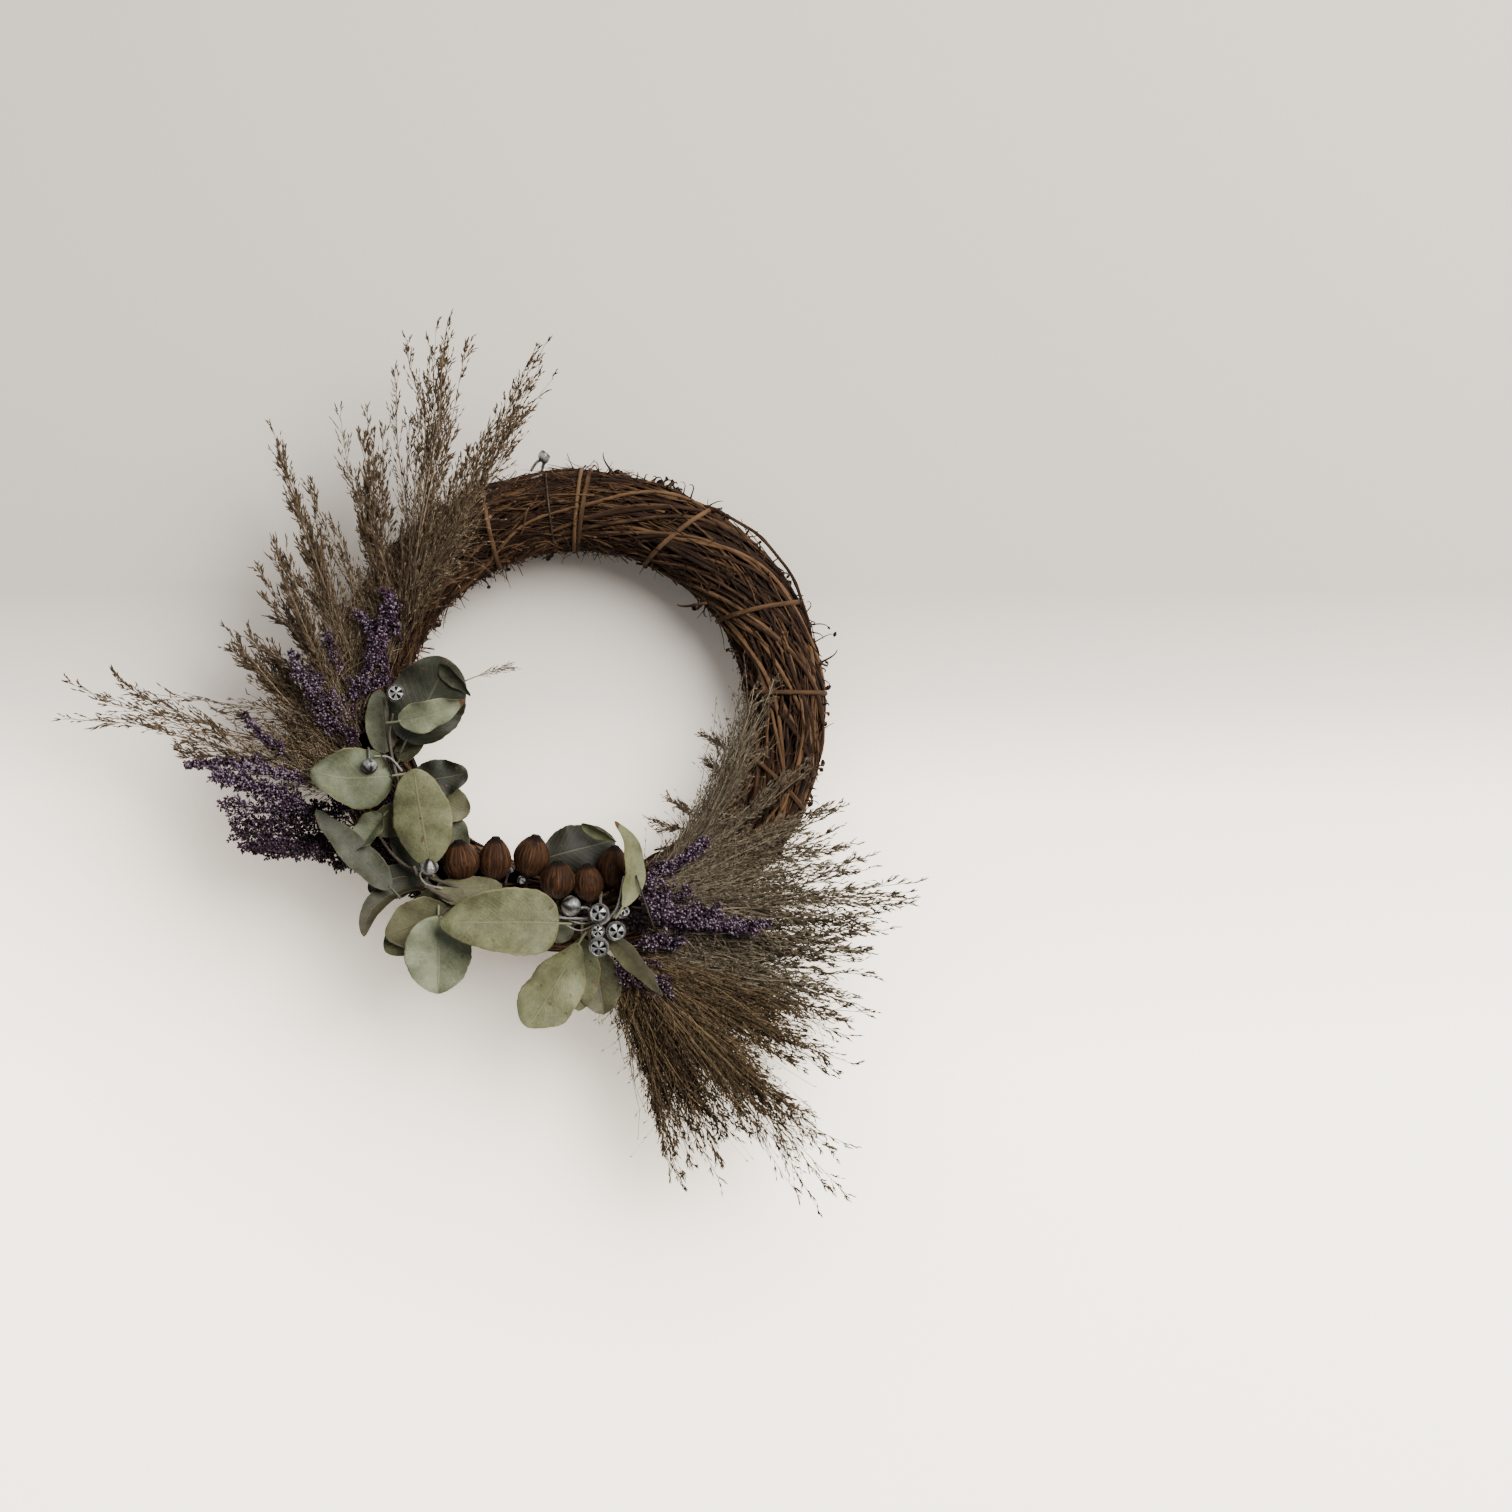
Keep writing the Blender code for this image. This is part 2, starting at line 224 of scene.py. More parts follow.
class Heap:
    """Many small shapes gathered into one mesh. Each point has a grain place and a tone from 0 to 1."""

    def __init__(self):
        self.points, self.grain, self.tone = [], [], []
        self.quads, self.tris = [], []
        self.count = 0

    def add(self, points, quads=None, tris=None, grain=None, tone=0.5):
        points = np.asarray(points, float).reshape(-1, 3)
        self.points.append(points)
        self.grain.append(points if grain is None else np.asarray(grain, float).reshape(-1, 3))
        self.tone.append(np.broadcast_to(np.asarray(tone, float).reshape(-1), (len(points),)))
        if quads is not None:
            self.quads.append(np.asarray(quads).reshape(-1, 4) + self.count)
        if tris is not None:
            self.tris.append(np.asarray(tris).reshape(-1, 3) + self.count)
        self.count += len(points)

    def piece(self, name, material, nodes=(), body="wreath"):
        quads = np.concatenate(self.quads) if self.quads else np.zeros((0, 4), int)
        tris = np.concatenate(self.tris) if self.tris else np.zeros((0, 3), int)
        mesh = bpy.data.meshes.new(name)
        mesh.vertices.add(self.count)
        mesh.vertices.foreach_set("co", np.concatenate(self.points).astype(np.float32).ravel())
        mesh.loops.add(quads.size + tris.size)
        corners = np.concatenate([quads.ravel(), tris.ravel()])
        mesh.loops.foreach_set("vertex_index", corners.astype(np.int32))
        sizes = np.concatenate([np.full(len(quads), 4), np.full(len(tris), 3)])
        mesh.polygons.add(len(sizes))
        mesh.polygons.foreach_set("loop_start", (np.cumsum(sizes) - sizes).astype(np.int32))
        mesh.polygons.foreach_set("use_smooth", np.ones(len(sizes), bool))
        mesh.update(calc_edges=True)
        grain = mesh.attributes.new("grain", "FLOAT_VECTOR", "POINT")
        grain.data.foreach_set("vector", np.concatenate(self.grain).astype(np.float32).ravel())
        tone = mesh.attributes.new("tone", "FLOAT", "POINT")
        tone.data.foreach_set("value", np.concatenate(self.tone).astype(np.float32))
        mesh.materials.append(material)
        thing = put_in_scene(name, mesh)
        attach(thing, body)
        if nodes:
            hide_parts(*nodes)
        return thing


def tube_faces(rings, sides):
    """The faces of a tube of rings of points: quads along it, and a fan of triangles over each end."""
    first = np.arange(rings - 1)[:, None] * sides
    here, after = np.arange(sides), (np.arange(sides) + 1) % sides
    quads = np.stack([first + here, first + after, first + sides + after, first + sides + here], axis=-1)
    fan = np.array([(0, i + 1, i) for i in range(1, sides - 1)])
    return quads.reshape(-1, 4), np.concatenate([fan, (rings - 1) * sides + fan[:, ::-1]])


def add_tubes(heap, paths, radii, sides, tones, draw, flute=0.0):
    """Round stems along paths[stem, point]. Their grain runs lengthwise, and flute gives them ridges."""
    paths = np.asarray(paths, float)
    count, steps = paths.shape[:2]
    radii = np.broadcast_to(radii, (count, steps))
    along = unit(np.gradient(paths, axis=1))
    side = unit(np.cross(along, (0.05, 1.0, 0.08)))
    up = np.cross(side, along)
    turns = 2 * pi * np.arange(sides) / sides
    runs = np.cumsum(np.linalg.norm(np.diff(paths, axis=1, prepend=paths[:, :1]), axis=-1), axis=1)
    phase = draw.uniform(0, 2 * pi, (count, 1, 1))
    ridges = np.sin(3 * turns + phase + runs[..., None] * 40) + 0.6 * np.sin(5 * turns - phase * 2)
    reach = radii[..., None] * (1 + flute * ridges)
    spread = side[:, :, None] * np.cos(turns)[:, None] + up[:, :, None] * np.sin(turns)[:, None]
    points = paths[:, :, None] + reach[..., None] * spread
    shift = draw.uniform(0, 5, (count, 1, 1, 3))
    grain = np.empty(points.shape)
    grain[..., 0] = reach * np.cos(turns)
    grain[..., 1] = reach * np.sin(turns)
    grain[..., 2] = runs[..., None]
    quads, caps = tube_faces(steps, sides)
    starts = np.arange(count)[:, None, None] * steps * sides
    tones = np.asarray(tones, float)
    tone = np.broadcast_to(tones.reshape(tones.shape + (1,) * (3 - tones.ndim)), points.shape[:3])
    heap.add(points, starts + quads, starts + caps, grain + shift, tone)


def wander(draw, count, run, waves, size):
    """Smooth random sway along each of count stems, in the units of size."""
    total = np.zeros((count, len(run)))
    for wave in waves:
        phase = draw.uniform(0, 2 * pi, (count, 1))
        total += draw.normal(0, 1, (count, 1)) * np.sin(2 * pi * run / wave + phase)
    return size * total / np.sqrt(len(waves))


def knuckled(draw, count, run, radius, spacing):
    """Stem radii that swell at knuckles and thin out at both ends."""
    first = draw.uniform(0, spacing, (count, 1))
    from_knuckle = np.abs((run + first) % spacing - spacing / 2)
    swell = 1 + 0.22 * np.exp(-((from_knuckle / 0.0022) ** 2))
    share = run / run[-1]
    ends = np.clip(np.minimum(share, 1 - share) / 0.04, 0.35, 1)
    return radius[:, None] * swell * ends


def grain_and_tone(add):
    """The grain place and the tone that a heap keeps at each point."""
    grain = add("Attribute", attribute_name="grain").outputs["Vector"]
    return grain, add("Attribute", attribute_name="tone").outputs["Fac"]


def along_grain(add, grain, *scale):
    """The grain place stretched, so that a pattern on it runs lengthwise."""
    return add("Mapping", {"Vector": grain, "Scale": scale}).outputs[0]


def noise(add, place, scale, detail, roughness=0.5):
    settings = {"Vector": place, "Scale": scale, "Detail": detail, "Roughness": roughness}
    return add("TexNoise", settings).outputs["Fac"]


def relief(add, height, distance, strength, under=None):
    """Small bumps from a height, laid over the ones under them."""
    normal = {} if under is None else {"Normal": under}
    return add("Bump", {"Height": height, "Distance": distance, "Strength": strength, **normal}).outputs[0]


def bark(name, dark, brown, tan):
    """Fibrous bark: streaks along the stem, darker and lighter stems, and a rough ridged surface."""
    material, add, finish = new_finish(name)
    grain, tone = grain_and_tone(add)
    streaks = noise(add, along_grain(add, grain, 900, 900, 55), 1.0, 5.0, 0.62)
    fibres = noise(add, along_grain(add, grain, 2600, 2600, 160), 1.0, 3.0)
    patches = noise(add, grain, 70.0, 3.0)
    level = stretch(add, maths(add, "ADD", maths(add, "ADD", streaks, tone), patches), 0.85, 2.15)
    finish({
        "Base Color": colour_steps(add, level, (0.0, *dark), (0.42, *brown), (1.0, *tan)),
        "Roughness": stretch(add, fibres, 0.0, 1.0, 0.55, 0.95),
        "Normal": relief(add, streaks, 0.0012, 0.7, relief(add, fibres, 0.0006, 0.8)),
        "Specular IOR Level": 0.12,
    })
    return material


vine_bark = bark("vine bark", (0.007, 0.0037, 0.0026), (0.029, 0.0138, 0.0070), (0.135, 0.074, 0.035))
# This bark is darker than the outer bark: painted shade for the gaps between the strands.
inner_bark_painted_shade = bark("inner bark painted shade", (0.006, 0.0035, 0.0030), (0.018, 0.0085, 0.0055), (0.060, 0.030, 0.016))
draw = np.random.default_rng(41)
VINE_STEPS = 190
LOOSE_RISE = 0.0022
SINK_BY_LOOP = 0.0022
loop_low, loop_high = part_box("hanging_loop")
loop_turn = np.arccos(((loop_low.x + loop_high.x) / 2 - ring_middle.x) / half_width)


def wind_vines(heap, draw, count, reach, radius, tones):
    """Vines that start and end inside the bundle and come to its surface between.
    They stand off it a little in front, and lie lower behind the hanging loop."""
    share = np.linspace(0, 1, VINE_STEPS)
    for _ in range(count):
        start = draw.uniform(0, 2 * pi)
        span = radians(draw.uniform(210, 400))
        turn = start + span * share
        run = share * span * (half_width + half_height) / 2
        lay = draw.uniform(0, 2 * pi) + draw.normal(1.5, 1.3) * (turn - start)
        lay = lay + wander(draw, 1, run, (0.09, 0.16, 0.31), 0.11)[0]
        thick = np.array([draw.uniform(*radius)])
        dip = np.clip(np.minimum(share, 1 - share) / 0.10, 0, 1) ** 0.6
        deepest = draw.uniform(*reach)
        depth = deepest * (0.45 + 0.55 * dip) + wander(draw, 1, run, (0.05, 0.11), 0.0007)[0]
        loose = np.where(np.sin(lay) > -0.2, LOOSE_RISE, 0.0)
        from_loop = (turn - loop_turn + pi) % (2 * pi) - pi
        by_loop = np.exp(-((from_loop / 0.13) ** 2)) * np.clip(-2 * np.sin(lay), 0, 1)
        depth = np.minimum(depth, bundle - thick[0] + loose - SINK_BY_LOOP * by_loop)
        path = on_ring(turn, depth * np.cos(lay), depth * np.sin(lay))
        radii = knuckled(draw, 1, run, thick, draw.uniform(0.05, 0.09))
        tone = tones[0] + (tones[1] - tones[0]) * draw.uniform(0, 1, 1) ** 1.6
        add_tubes(heap, path[None], radii, 8, tone, draw, 0.09)


# Painted shade: the vines deep in the bundle, and the darker tones of the middle layer, make the gaps between
# the outer strands dark.
packing = Heap()
wind_vines(packing, draw, 44, (0.25 * bundle, 0.66 * bundle), (0.0018, 0.0028), (0.0, 0.5))
packing.piece("vines_inside", inner_bark_painted_shade, ["vine_core"])
for turn_node in TURNS:
    strands = Heap()
    wind_vines(strands, draw, 9, (0.66 * bundle, 0.84 * bundle), (0.0010, 0.0020), (0.0, 0.35))
    wind_vines(strands, draw, 19, (0.84 * bundle, 1.04 * bundle), (0.0007, 0.0014), (0.0, 1.0))
    strands.piece(turn_node + "_vines", vine_bark, [turn_node])

# The loose bark.
# Old bark peels off the vines in thin fibres. It is thickest on the upper left, and ragged round the hole.
shreds = Heap()
BEHIND_RING = 0.004


def in_front_of_wall(points):
    """The same places, none of them further back than a little behind the ring."""
    points[..., 1] = np.minimum(points[..., 1], cad_high.y + BEHIND_RING)
    return points


def peel_bark(count, first, last, long, front_only=False, lift=0.0015, thick=(0.00022, 0.00050)):
    """Fibres that lie along the bundle between two angles in degrees, their ends a little off it."""
    share = np.linspace(0, 1, 9)
    middle = np.radians(draw.uniform(first, last, (count, 1)))
    span = draw.uniform(*long, (count, 1)) / (half_width + half_height) * 2
    turn = middle + span * (share - 0.5) * np.sign(draw.normal(0, 1, (count, 1)))
    lay = draw.uniform(-0.6 if front_only else -pi, pi + 0.6 if front_only else pi, (count, 1))
    lay = lay + draw.normal(0, 0.34, (count, 1)) * share + wander(draw, count, share, (0.7, 1.3), 0.06)
    rise = np.abs(draw.normal(0, lift, (count, 1))) * (2 * share - 1) ** 2
    rise = rise + np.abs(draw.normal(0, lift, (count, 1))) * share**3
    depth = bundle - 0.0006 + rise
    path = in_front_of_wall(on_ring(turn, depth * np.cos(lay), depth * np.sin(lay)))
    radii = draw.uniform(*thick, (count, 1)) * (1 - 0.6 * share**2)
    add_tubes(shreds, path, radii, 4, draw.uniform(0.0, 0.9, count), draw)


peel_bark(900, 78, 172, (0.018, 0.055), front_only=True, lift=0.0020)
peel_bark(420, 78, 172, (0.006, 0.016), lift=0.0034)
peel_bark(420, -70, 80, (0.012, 0.045), lift=0.0010, thick=(0.00016, 0.00034))
peel_bark(260, -70, 80, (0.005, 0.014), lift=0.0026)
peel_bark(300, -70, 172, (0.030, 0.085), front_only=True, lift=0.0018, thick=(0.00035, 0.00085))
peel_bark(160, 180, 290, (0.012, 0.045), lift=0.0010)
shreds.piece("bark_shreds", vine_bark)

# The vines wound across the ring.
# A few lengths of lighter vine are wrapped tightly round the bundle and tucked in, to keep it together.
wrap_bark = bark("wrap bark", (0.016, 0.0078, 0.0040), (0.050, 0.0255, 0.0120), (0.140, 0.082, 0.040))


def corners_of(node):
    return np.array([vertex.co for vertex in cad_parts[node].data.vertices])


def angles_of(node):
    """The angles round the ring at which a loop crosses the bundle's outer edge and its inner edge."""
    points = corners_of(node)
    from_middle = points - np.array(ring_middle)
    turn = np.arctan2(from_middle[:, 2] / half_height, from_middle[:, 0] / half_width)
    middle = on_ring(turn, 0.0, 0.0)
    side = np.linalg.norm((points - middle)[:, [0, 2]], axis=1)
    beyond = np.linalg.norm(from_middle[:, [0, 2]], axis=1)
    beyond = beyond - np.linalg.norm((middle - np.array(ring_middle))[:, [0, 2]], axis=1)
    edge = side > 0.8 * side.max()
    return [float(np.median(turn[edge & (beyond * way > 0)])) for way in (1, -1)]


def wind_across(heap, outer, inner, reach, radius, tone, tail=0.10):
    """A vine once round the bundle, in front from the outer edge to the inner, its tails along the ring."""
    share = np.linspace(0, 1, 90)
    around = -1.9 + share * (2 * pi + 0.5)
    turn = inner + (outer - inner) * (1 + np.cos(around)) / 2
    tuck = np.clip((share - 0.90) / 0.10, 0, 1) + np.clip((0.10 - share) / 0.10, 0, 1)
    tail_end, tail_start = np.clip((share - 0.86) / 0.14, 0, 1), np.clip((0.12 - share) / 0.12, 0, 1)
    turn = turn + tail * (tail_end**2 - tail_start**2)
    distance = reach - 0.0035 * tuck + wander(draw, 1, share, (0.3, 0.7), 0.0004)[0]
    path = on_ring(turn, distance * np.cos(around), distance * np.sin(around))
    radii = knuckled(draw, 1, share * reach * 7, np.array([radius]), 0.055)
    add_tubes(heap, path[None], radii, 10, tone, draw, 0.08)


for i in range(1, 7):
    node = f"vine_wrap_{i}"
    outer, inner = angles_of(node)
    winding = Heap()
    wind_across(winding, outer, inner, bundle + 0.0012, 0.0015, draw.uniform(0.35, 0.75, 1))
    if i == 1:
        second = (outer + 0.035, inner + 0.022, bundle + 0.0014, 0.0012)
        wind_across(winding, *second, draw.uniform(0.5, 0.8, 1), tail=-0.1)
    winding.piece(node + "_vine", wrap_bark, [node])

# The tendrils and broken twigs.
# Thin stems still stand off the vines: curled tendrils, snapped side shoots, and a loose one on the right.
tendrils = Heap()


def curl(turn, out, forward, heading, length, coil, thick=0.0006):
    """A tendril from a place on the bundle that runs straight, then coils up at its end."""
    base = on_ring(radians(turn), out, forward)
    share = np.linspace(0, 1, 36)
    bearing = radians(heading) + coil * np.clip(share - 0.35, 0, 1) ** 1.5
    step = length / len(share) * (1 - 0.55 * share)
    x = np.cumsum(np.cos(bearing) * step)
    z = np.cumsum(np.sin(bearing) * step)
    y = -0.004 * np.sin(share * 4 + draw.uniform(0, 2))
    path = in_front_of_wall(base + np.stack([x, y - y[0], z], axis=-1))
    add_tubes(tendrils, path[None], thick * (1.1 - 0.7 * share)[None], 6, draw.uniform(0.1, 0.6, 1), draw)
    return path[-1]


def bud(heap, place, size, tone):
    """A small dry bud: a bead a little longer than it is wide."""
    share = np.linspace(0, 1, 7)
    way = unit(draw.normal(0, 1, 3))
    path = in_front_of_wall(place + (share[:, None] - 0.5) * way * size * 1.5)
    swell = size / 2 * np.sin(pi * (0.08 + 0.84 * share))
    add_tubes(heap, path[None], swell[None], 7, tone, draw)


def scruff(turn, out, heading, count, size):
    """A tuft of small crooked shoots and curls at one place on the bundle, some with a bud at the tip."""
    for _ in range(count):
        aim = heading + draw.normal(0, 42)
        bend = draw.choice([-1, 1]) * draw.uniform(1, 9)
        spot = turn + draw.normal(0, 3.5)
        thick = draw.uniform(0.00038, 0.00075)
        forward = draw.uniform(-0.1, 0.5) * bundle
        tip = curl(spot, out * bundle, forward, aim, size * draw.uniform(0.4, 1), bend, thick)
        if draw.uniform() < 0.5:
            bud(tendrils, tip, draw.uniform(0.0016, 0.0030), 0.0)


for turn, out, heading, count, size in (
    (84, 0.96, 110, 4, 0.016), (76, 0.94, 90, 3, 0.012), (70, 0.98, 60, 11, 0.016),
    (63, 0.98, 40, 9, 0.016), (55, 0.96, 60, 5, 0.012), (44, 1.0, 45, 4, 0.012),
    (33, 1.0, 30, 5, 0.014), (18, 1.0, 70, 9, 0.020), (11, 1.0, -40, 7, 0.018),
    (-2, 0.97, 0, 4, 0.010), (-14, 0.97, -20, 4, 0.012), (-24, 0.97, -60, 5, 0.013),
    (120, -0.97, -70, 6, 0.014), (108, -0.97, -100, 7, 0.015), (99, -0.97, -60, 3, 0.010),
    (134, -0.95, -60, 6, 0.010), (62, -0.96, -110, 3, 0.010), (40, -0.96, 200, 4, 0.014),
    (22, -0.96, 190, 4, 0.009), (4, -0.96, 200, 3, 0.009), (150, -0.95, -50, 5, 0.010),
    (128, 0.95, 130, 4, 0.014),
):
    scruff(turn, out, heading, count, size)
curl(80, 0.9 * bundle, 0.3 * bundle, 128, 0.026, -1.5, 0.0007)
curl(41, -0.94 * bundle, 0.5 * bundle, 190, 0.026, -1.2, 0.0010)
curl(20, 0.95 * bundle, 0.3 * bundle, -62, 0.034, -4, 0.0008)
share = np.linspace(0, 1, 60)
turn = np.radians(60 - 42 * share)
rise = bundle + 0.0075 * np.sin(pi * share) ** 0.8 + wander(draw, 1, share, (0.3, 0.5), 0.0008)[0]
path = on_ring(turn, rise * cos(0.35), rise * sin(0.35))
radii = knuckled(draw, 1, share * 0.1, np.array([0.0010]), 0.03)
add_tubes(tendrils, path[None], radii, 8, 0.3, draw, 0.08)
tendrils.piece("tendrils_and_twigs", vine_bark)

# The wire: the hanging loop, the band that holds it, and the two binding wires.
# The loop is stiff wire bent to a D that turns on its straight side. The others are thin soft wire.
galvanised, add, finish = new_finish("galvanised wire")
dull = noise(add, add("TexCoord").outputs["Object"], 420.0, 4.0)
finish({
    "Base Color": colour_steps(add, dull, (0.3, 0.17, 0.17, 0.17), (0.7, 0.42, 0.42, 0.41)),
    "Roughness": stretch(add, dull, 0.0, 1.0, 0.32, 0.6),
    "Metallic": 1.0,
})
annealed, add, finish = new_finish("annealed wire")
scale = noise(add, add("TexCoord").outputs["Object"], 380.0, 4.0)
finish({
    "Base Color": colour_steps(add, scale, (0.3, 0.014, 0.010, 0.008), (0.7, 0.060, 0.040, 0.028)),
    "Roughness": 0.6,
    "Metallic": 0.5,
})


def closed_tube(heap, path, radius, sides):
    """A round wire along a closed path, its ends meeting."""
    path = np.concatenate([path, path[:2]])
    add_tubes(heap, path[None], radius, sides, 0.5, draw)


wire = (loop_high.y - loop_low.y) / 2 / cos(pi / 6)
arch = (loop_high.x - loop_low.x) / 2 - wire
corner = arch / 3
top, foot = loop_high.z - wire - arch, loop_low.z + wire
loop_middle = (loop_low + loop_high) / 2
path = [(arch * cos(t), top + arch * sin(t)) for t in np.linspace(0, pi, 40)]
for way, start, end in ((-1, pi, 1.5 * pi), (1, -pi / 2, 0)):
    middle = way * (arch - corner)
    path += [(middle + corner * cos(t), foot + corner + corner * sin(t)) for t in np.linspace(start, end, 12)]
loop = Heap()
closed_tube(loop, np.array([(loop_middle.x + x, loop_middle.y, z) for x, z in path]), wire, 16)
loop.piece("hanging_loop_wire", galvanised, ["hanging_loop"], body="loop")


def wire_round(node, radius):
    """Thin wire on the line of a CAD loop round the bundle, its two ends twisted together at the back."""
    points = corners_of(node)
    turn = angles_of(node)[0]
    out_way = unit(on_ring(turn, 1.0, 0.0) - on_ring(turn, 0.0, 0.0))
    middle = on_ring(turn, 0.0, 0.0)
    around = np.arctan2(-(points[:, 1] - middle[1]), (points - middle) @ out_way)
    distance = np.hypot(points[:, 1] - middle[1], (points - middle) @ out_way)
    order = np.argsort(around)
    samples = np.linspace(-pi, pi, 160, endpoint=False)
    spread = np.exp(-(((samples[:, None] - around[order] + pi) % (2 * pi) - pi) / 0.09) ** 2)
    reach = (spread @ distance[order]) / spread.sum(axis=1)
    path = on_ring(turn, reach * np.cos(samples), reach * np.sin(samples))
    heap = Heap()
    closed_tube(heap, path, radius, 8)
    share = np.linspace(0, 1, 40)
    root = on_ring(turn, 0.55 * bundle, -0.84 * bundle)
    for way in (0, pi):
        twist = 9 * pi * share + way
        back, up = 0.0006 * np.cos(twist) - 0.0005, 0.0006 * np.sin(twist)
        tail = root + np.stack([0.012 * share, back, up], axis=-1)
        add_tubes(heap, tail[None], radius * 0.8, 7, 0.5, draw)
    heap.piece(node + "_twisted", annealed, [node])


wire_round("hanger_band", 0.0006)
wire_round("binding_wire_left", 0.0005)
wire_round("binding_wire_right", 0.0005)

# The dried grass.
# Two fans of wild grass, tied by their stems to the left and to the lower right of the ring.
# Each stem carries a long loose seed head of thin branches with brown husks, and soft chaff at its foot.


def straw(name, husk, middle, stalk):
    """Dry grass, from dark husks through brown to pale stalks, with fine lengthwise streaks."""
    material, add, finish = new_finish(name)
    grain, tone = grain_and_tone(add)
    streaks = noise(add, along_grain(add, grain, 1500, 1500, 130), 1.0, 3.0)
    level = stretch(add, maths(add, "ADD", streaks, tone), 0.3, 1.5)
    finish({
        "Base Color": colour_steps(add, level, (0.0, *husk), (0.5, *middle), (1.0, *stalk)),
        "Normal": relief(add, streaks, 0.0003, 0.6),
        "Roughness": 0.82,
        "Specular IOR Level": 0.2,
    })
    return material


grey_straw = straw("grey brown grass", (0.018, 0.0105, 0.0055), (0.098, 0.064, 0.035), (0.32, 0.25, 0.165))
olive_straw = straw("olive grass", (0.022, 0.015, 0.010), (0.096, 0.074, 0.046), (0.27, 0.225, 0.155))
gold_straw = straw("golden grass", (0.010, 0.0063, 0.0034), (0.050, 0.0320, 0.0155), (0.190, 0.128, 0.064))
FRONT = np.array([0.0, -1.0, 0.0])


def lie_of(node, near):
    """How a long CAD piece lies: its end near a place, the ways along, across and out of it, its sizes."""
    points = corners_of(node)
    ways = np.linalg.svd(points - points.mean(axis=0), full_matrices=False)[2]
    spans = points @ ways.T
    low, high = spans.min(axis=0), spans.max(axis=0)
    middle = (low + high) / 2 @ ways
    along, across, face = ways
    length, width = (high - low)[:2]
    if (middle - near) @ along < 0:
        along = -along
    if face @ FRONT < 0:
        face = -face
    across = np.cross(face, along)
    return middle - along * length / 2, along, across, face, length, width


def at_share(paths, share):
    """Places on each path, and the way the path runs there. share[stem, item] is from 0 to 1."""
    steps = paths.shape[1] - 1
    spot = np.clip(share * steps, 0, steps - 1e-6)
    index = spot.astype(int)
    rows = np.arange(len(paths))[:, None]
    here, after = paths[rows, index], paths[rows, index + 1]
    part = (spot - index)[..., None]
    return here * (1 - part) + after * part, unit(after - here)


def husks_along(heap, branches, each, long, thick, tones, first=0.3):
    """Narrow pointed husks set along thin branches, leaning off them."""
    count = len(branches)
    share = np.sort(draw.uniform(first, 1.0, (count, each)), axis=1)
    share[:, -1] = 1.0
    spots, ways = at_share(branches, share)
    lean = unit(ways + draw.normal(0, 0.26, ways.shape))
    size = draw.uniform(*long, (count, each, 1, 1))
    steps = np.array([0.0, 0.3, 0.7, 1.0])[:, None]
    paths = (spots[:, :, None] + lean[:, :, None] * steps * size).reshape(-1, 4, 3)
    radii = draw.uniform(*thick, (count * each, 1)) * np.array([0.35, 1.0, 0.75, 0.1])
    add_tubes(heap, in_front_of_wall(paths), radii, 3, draw.uniform(*tones, count * each), draw)


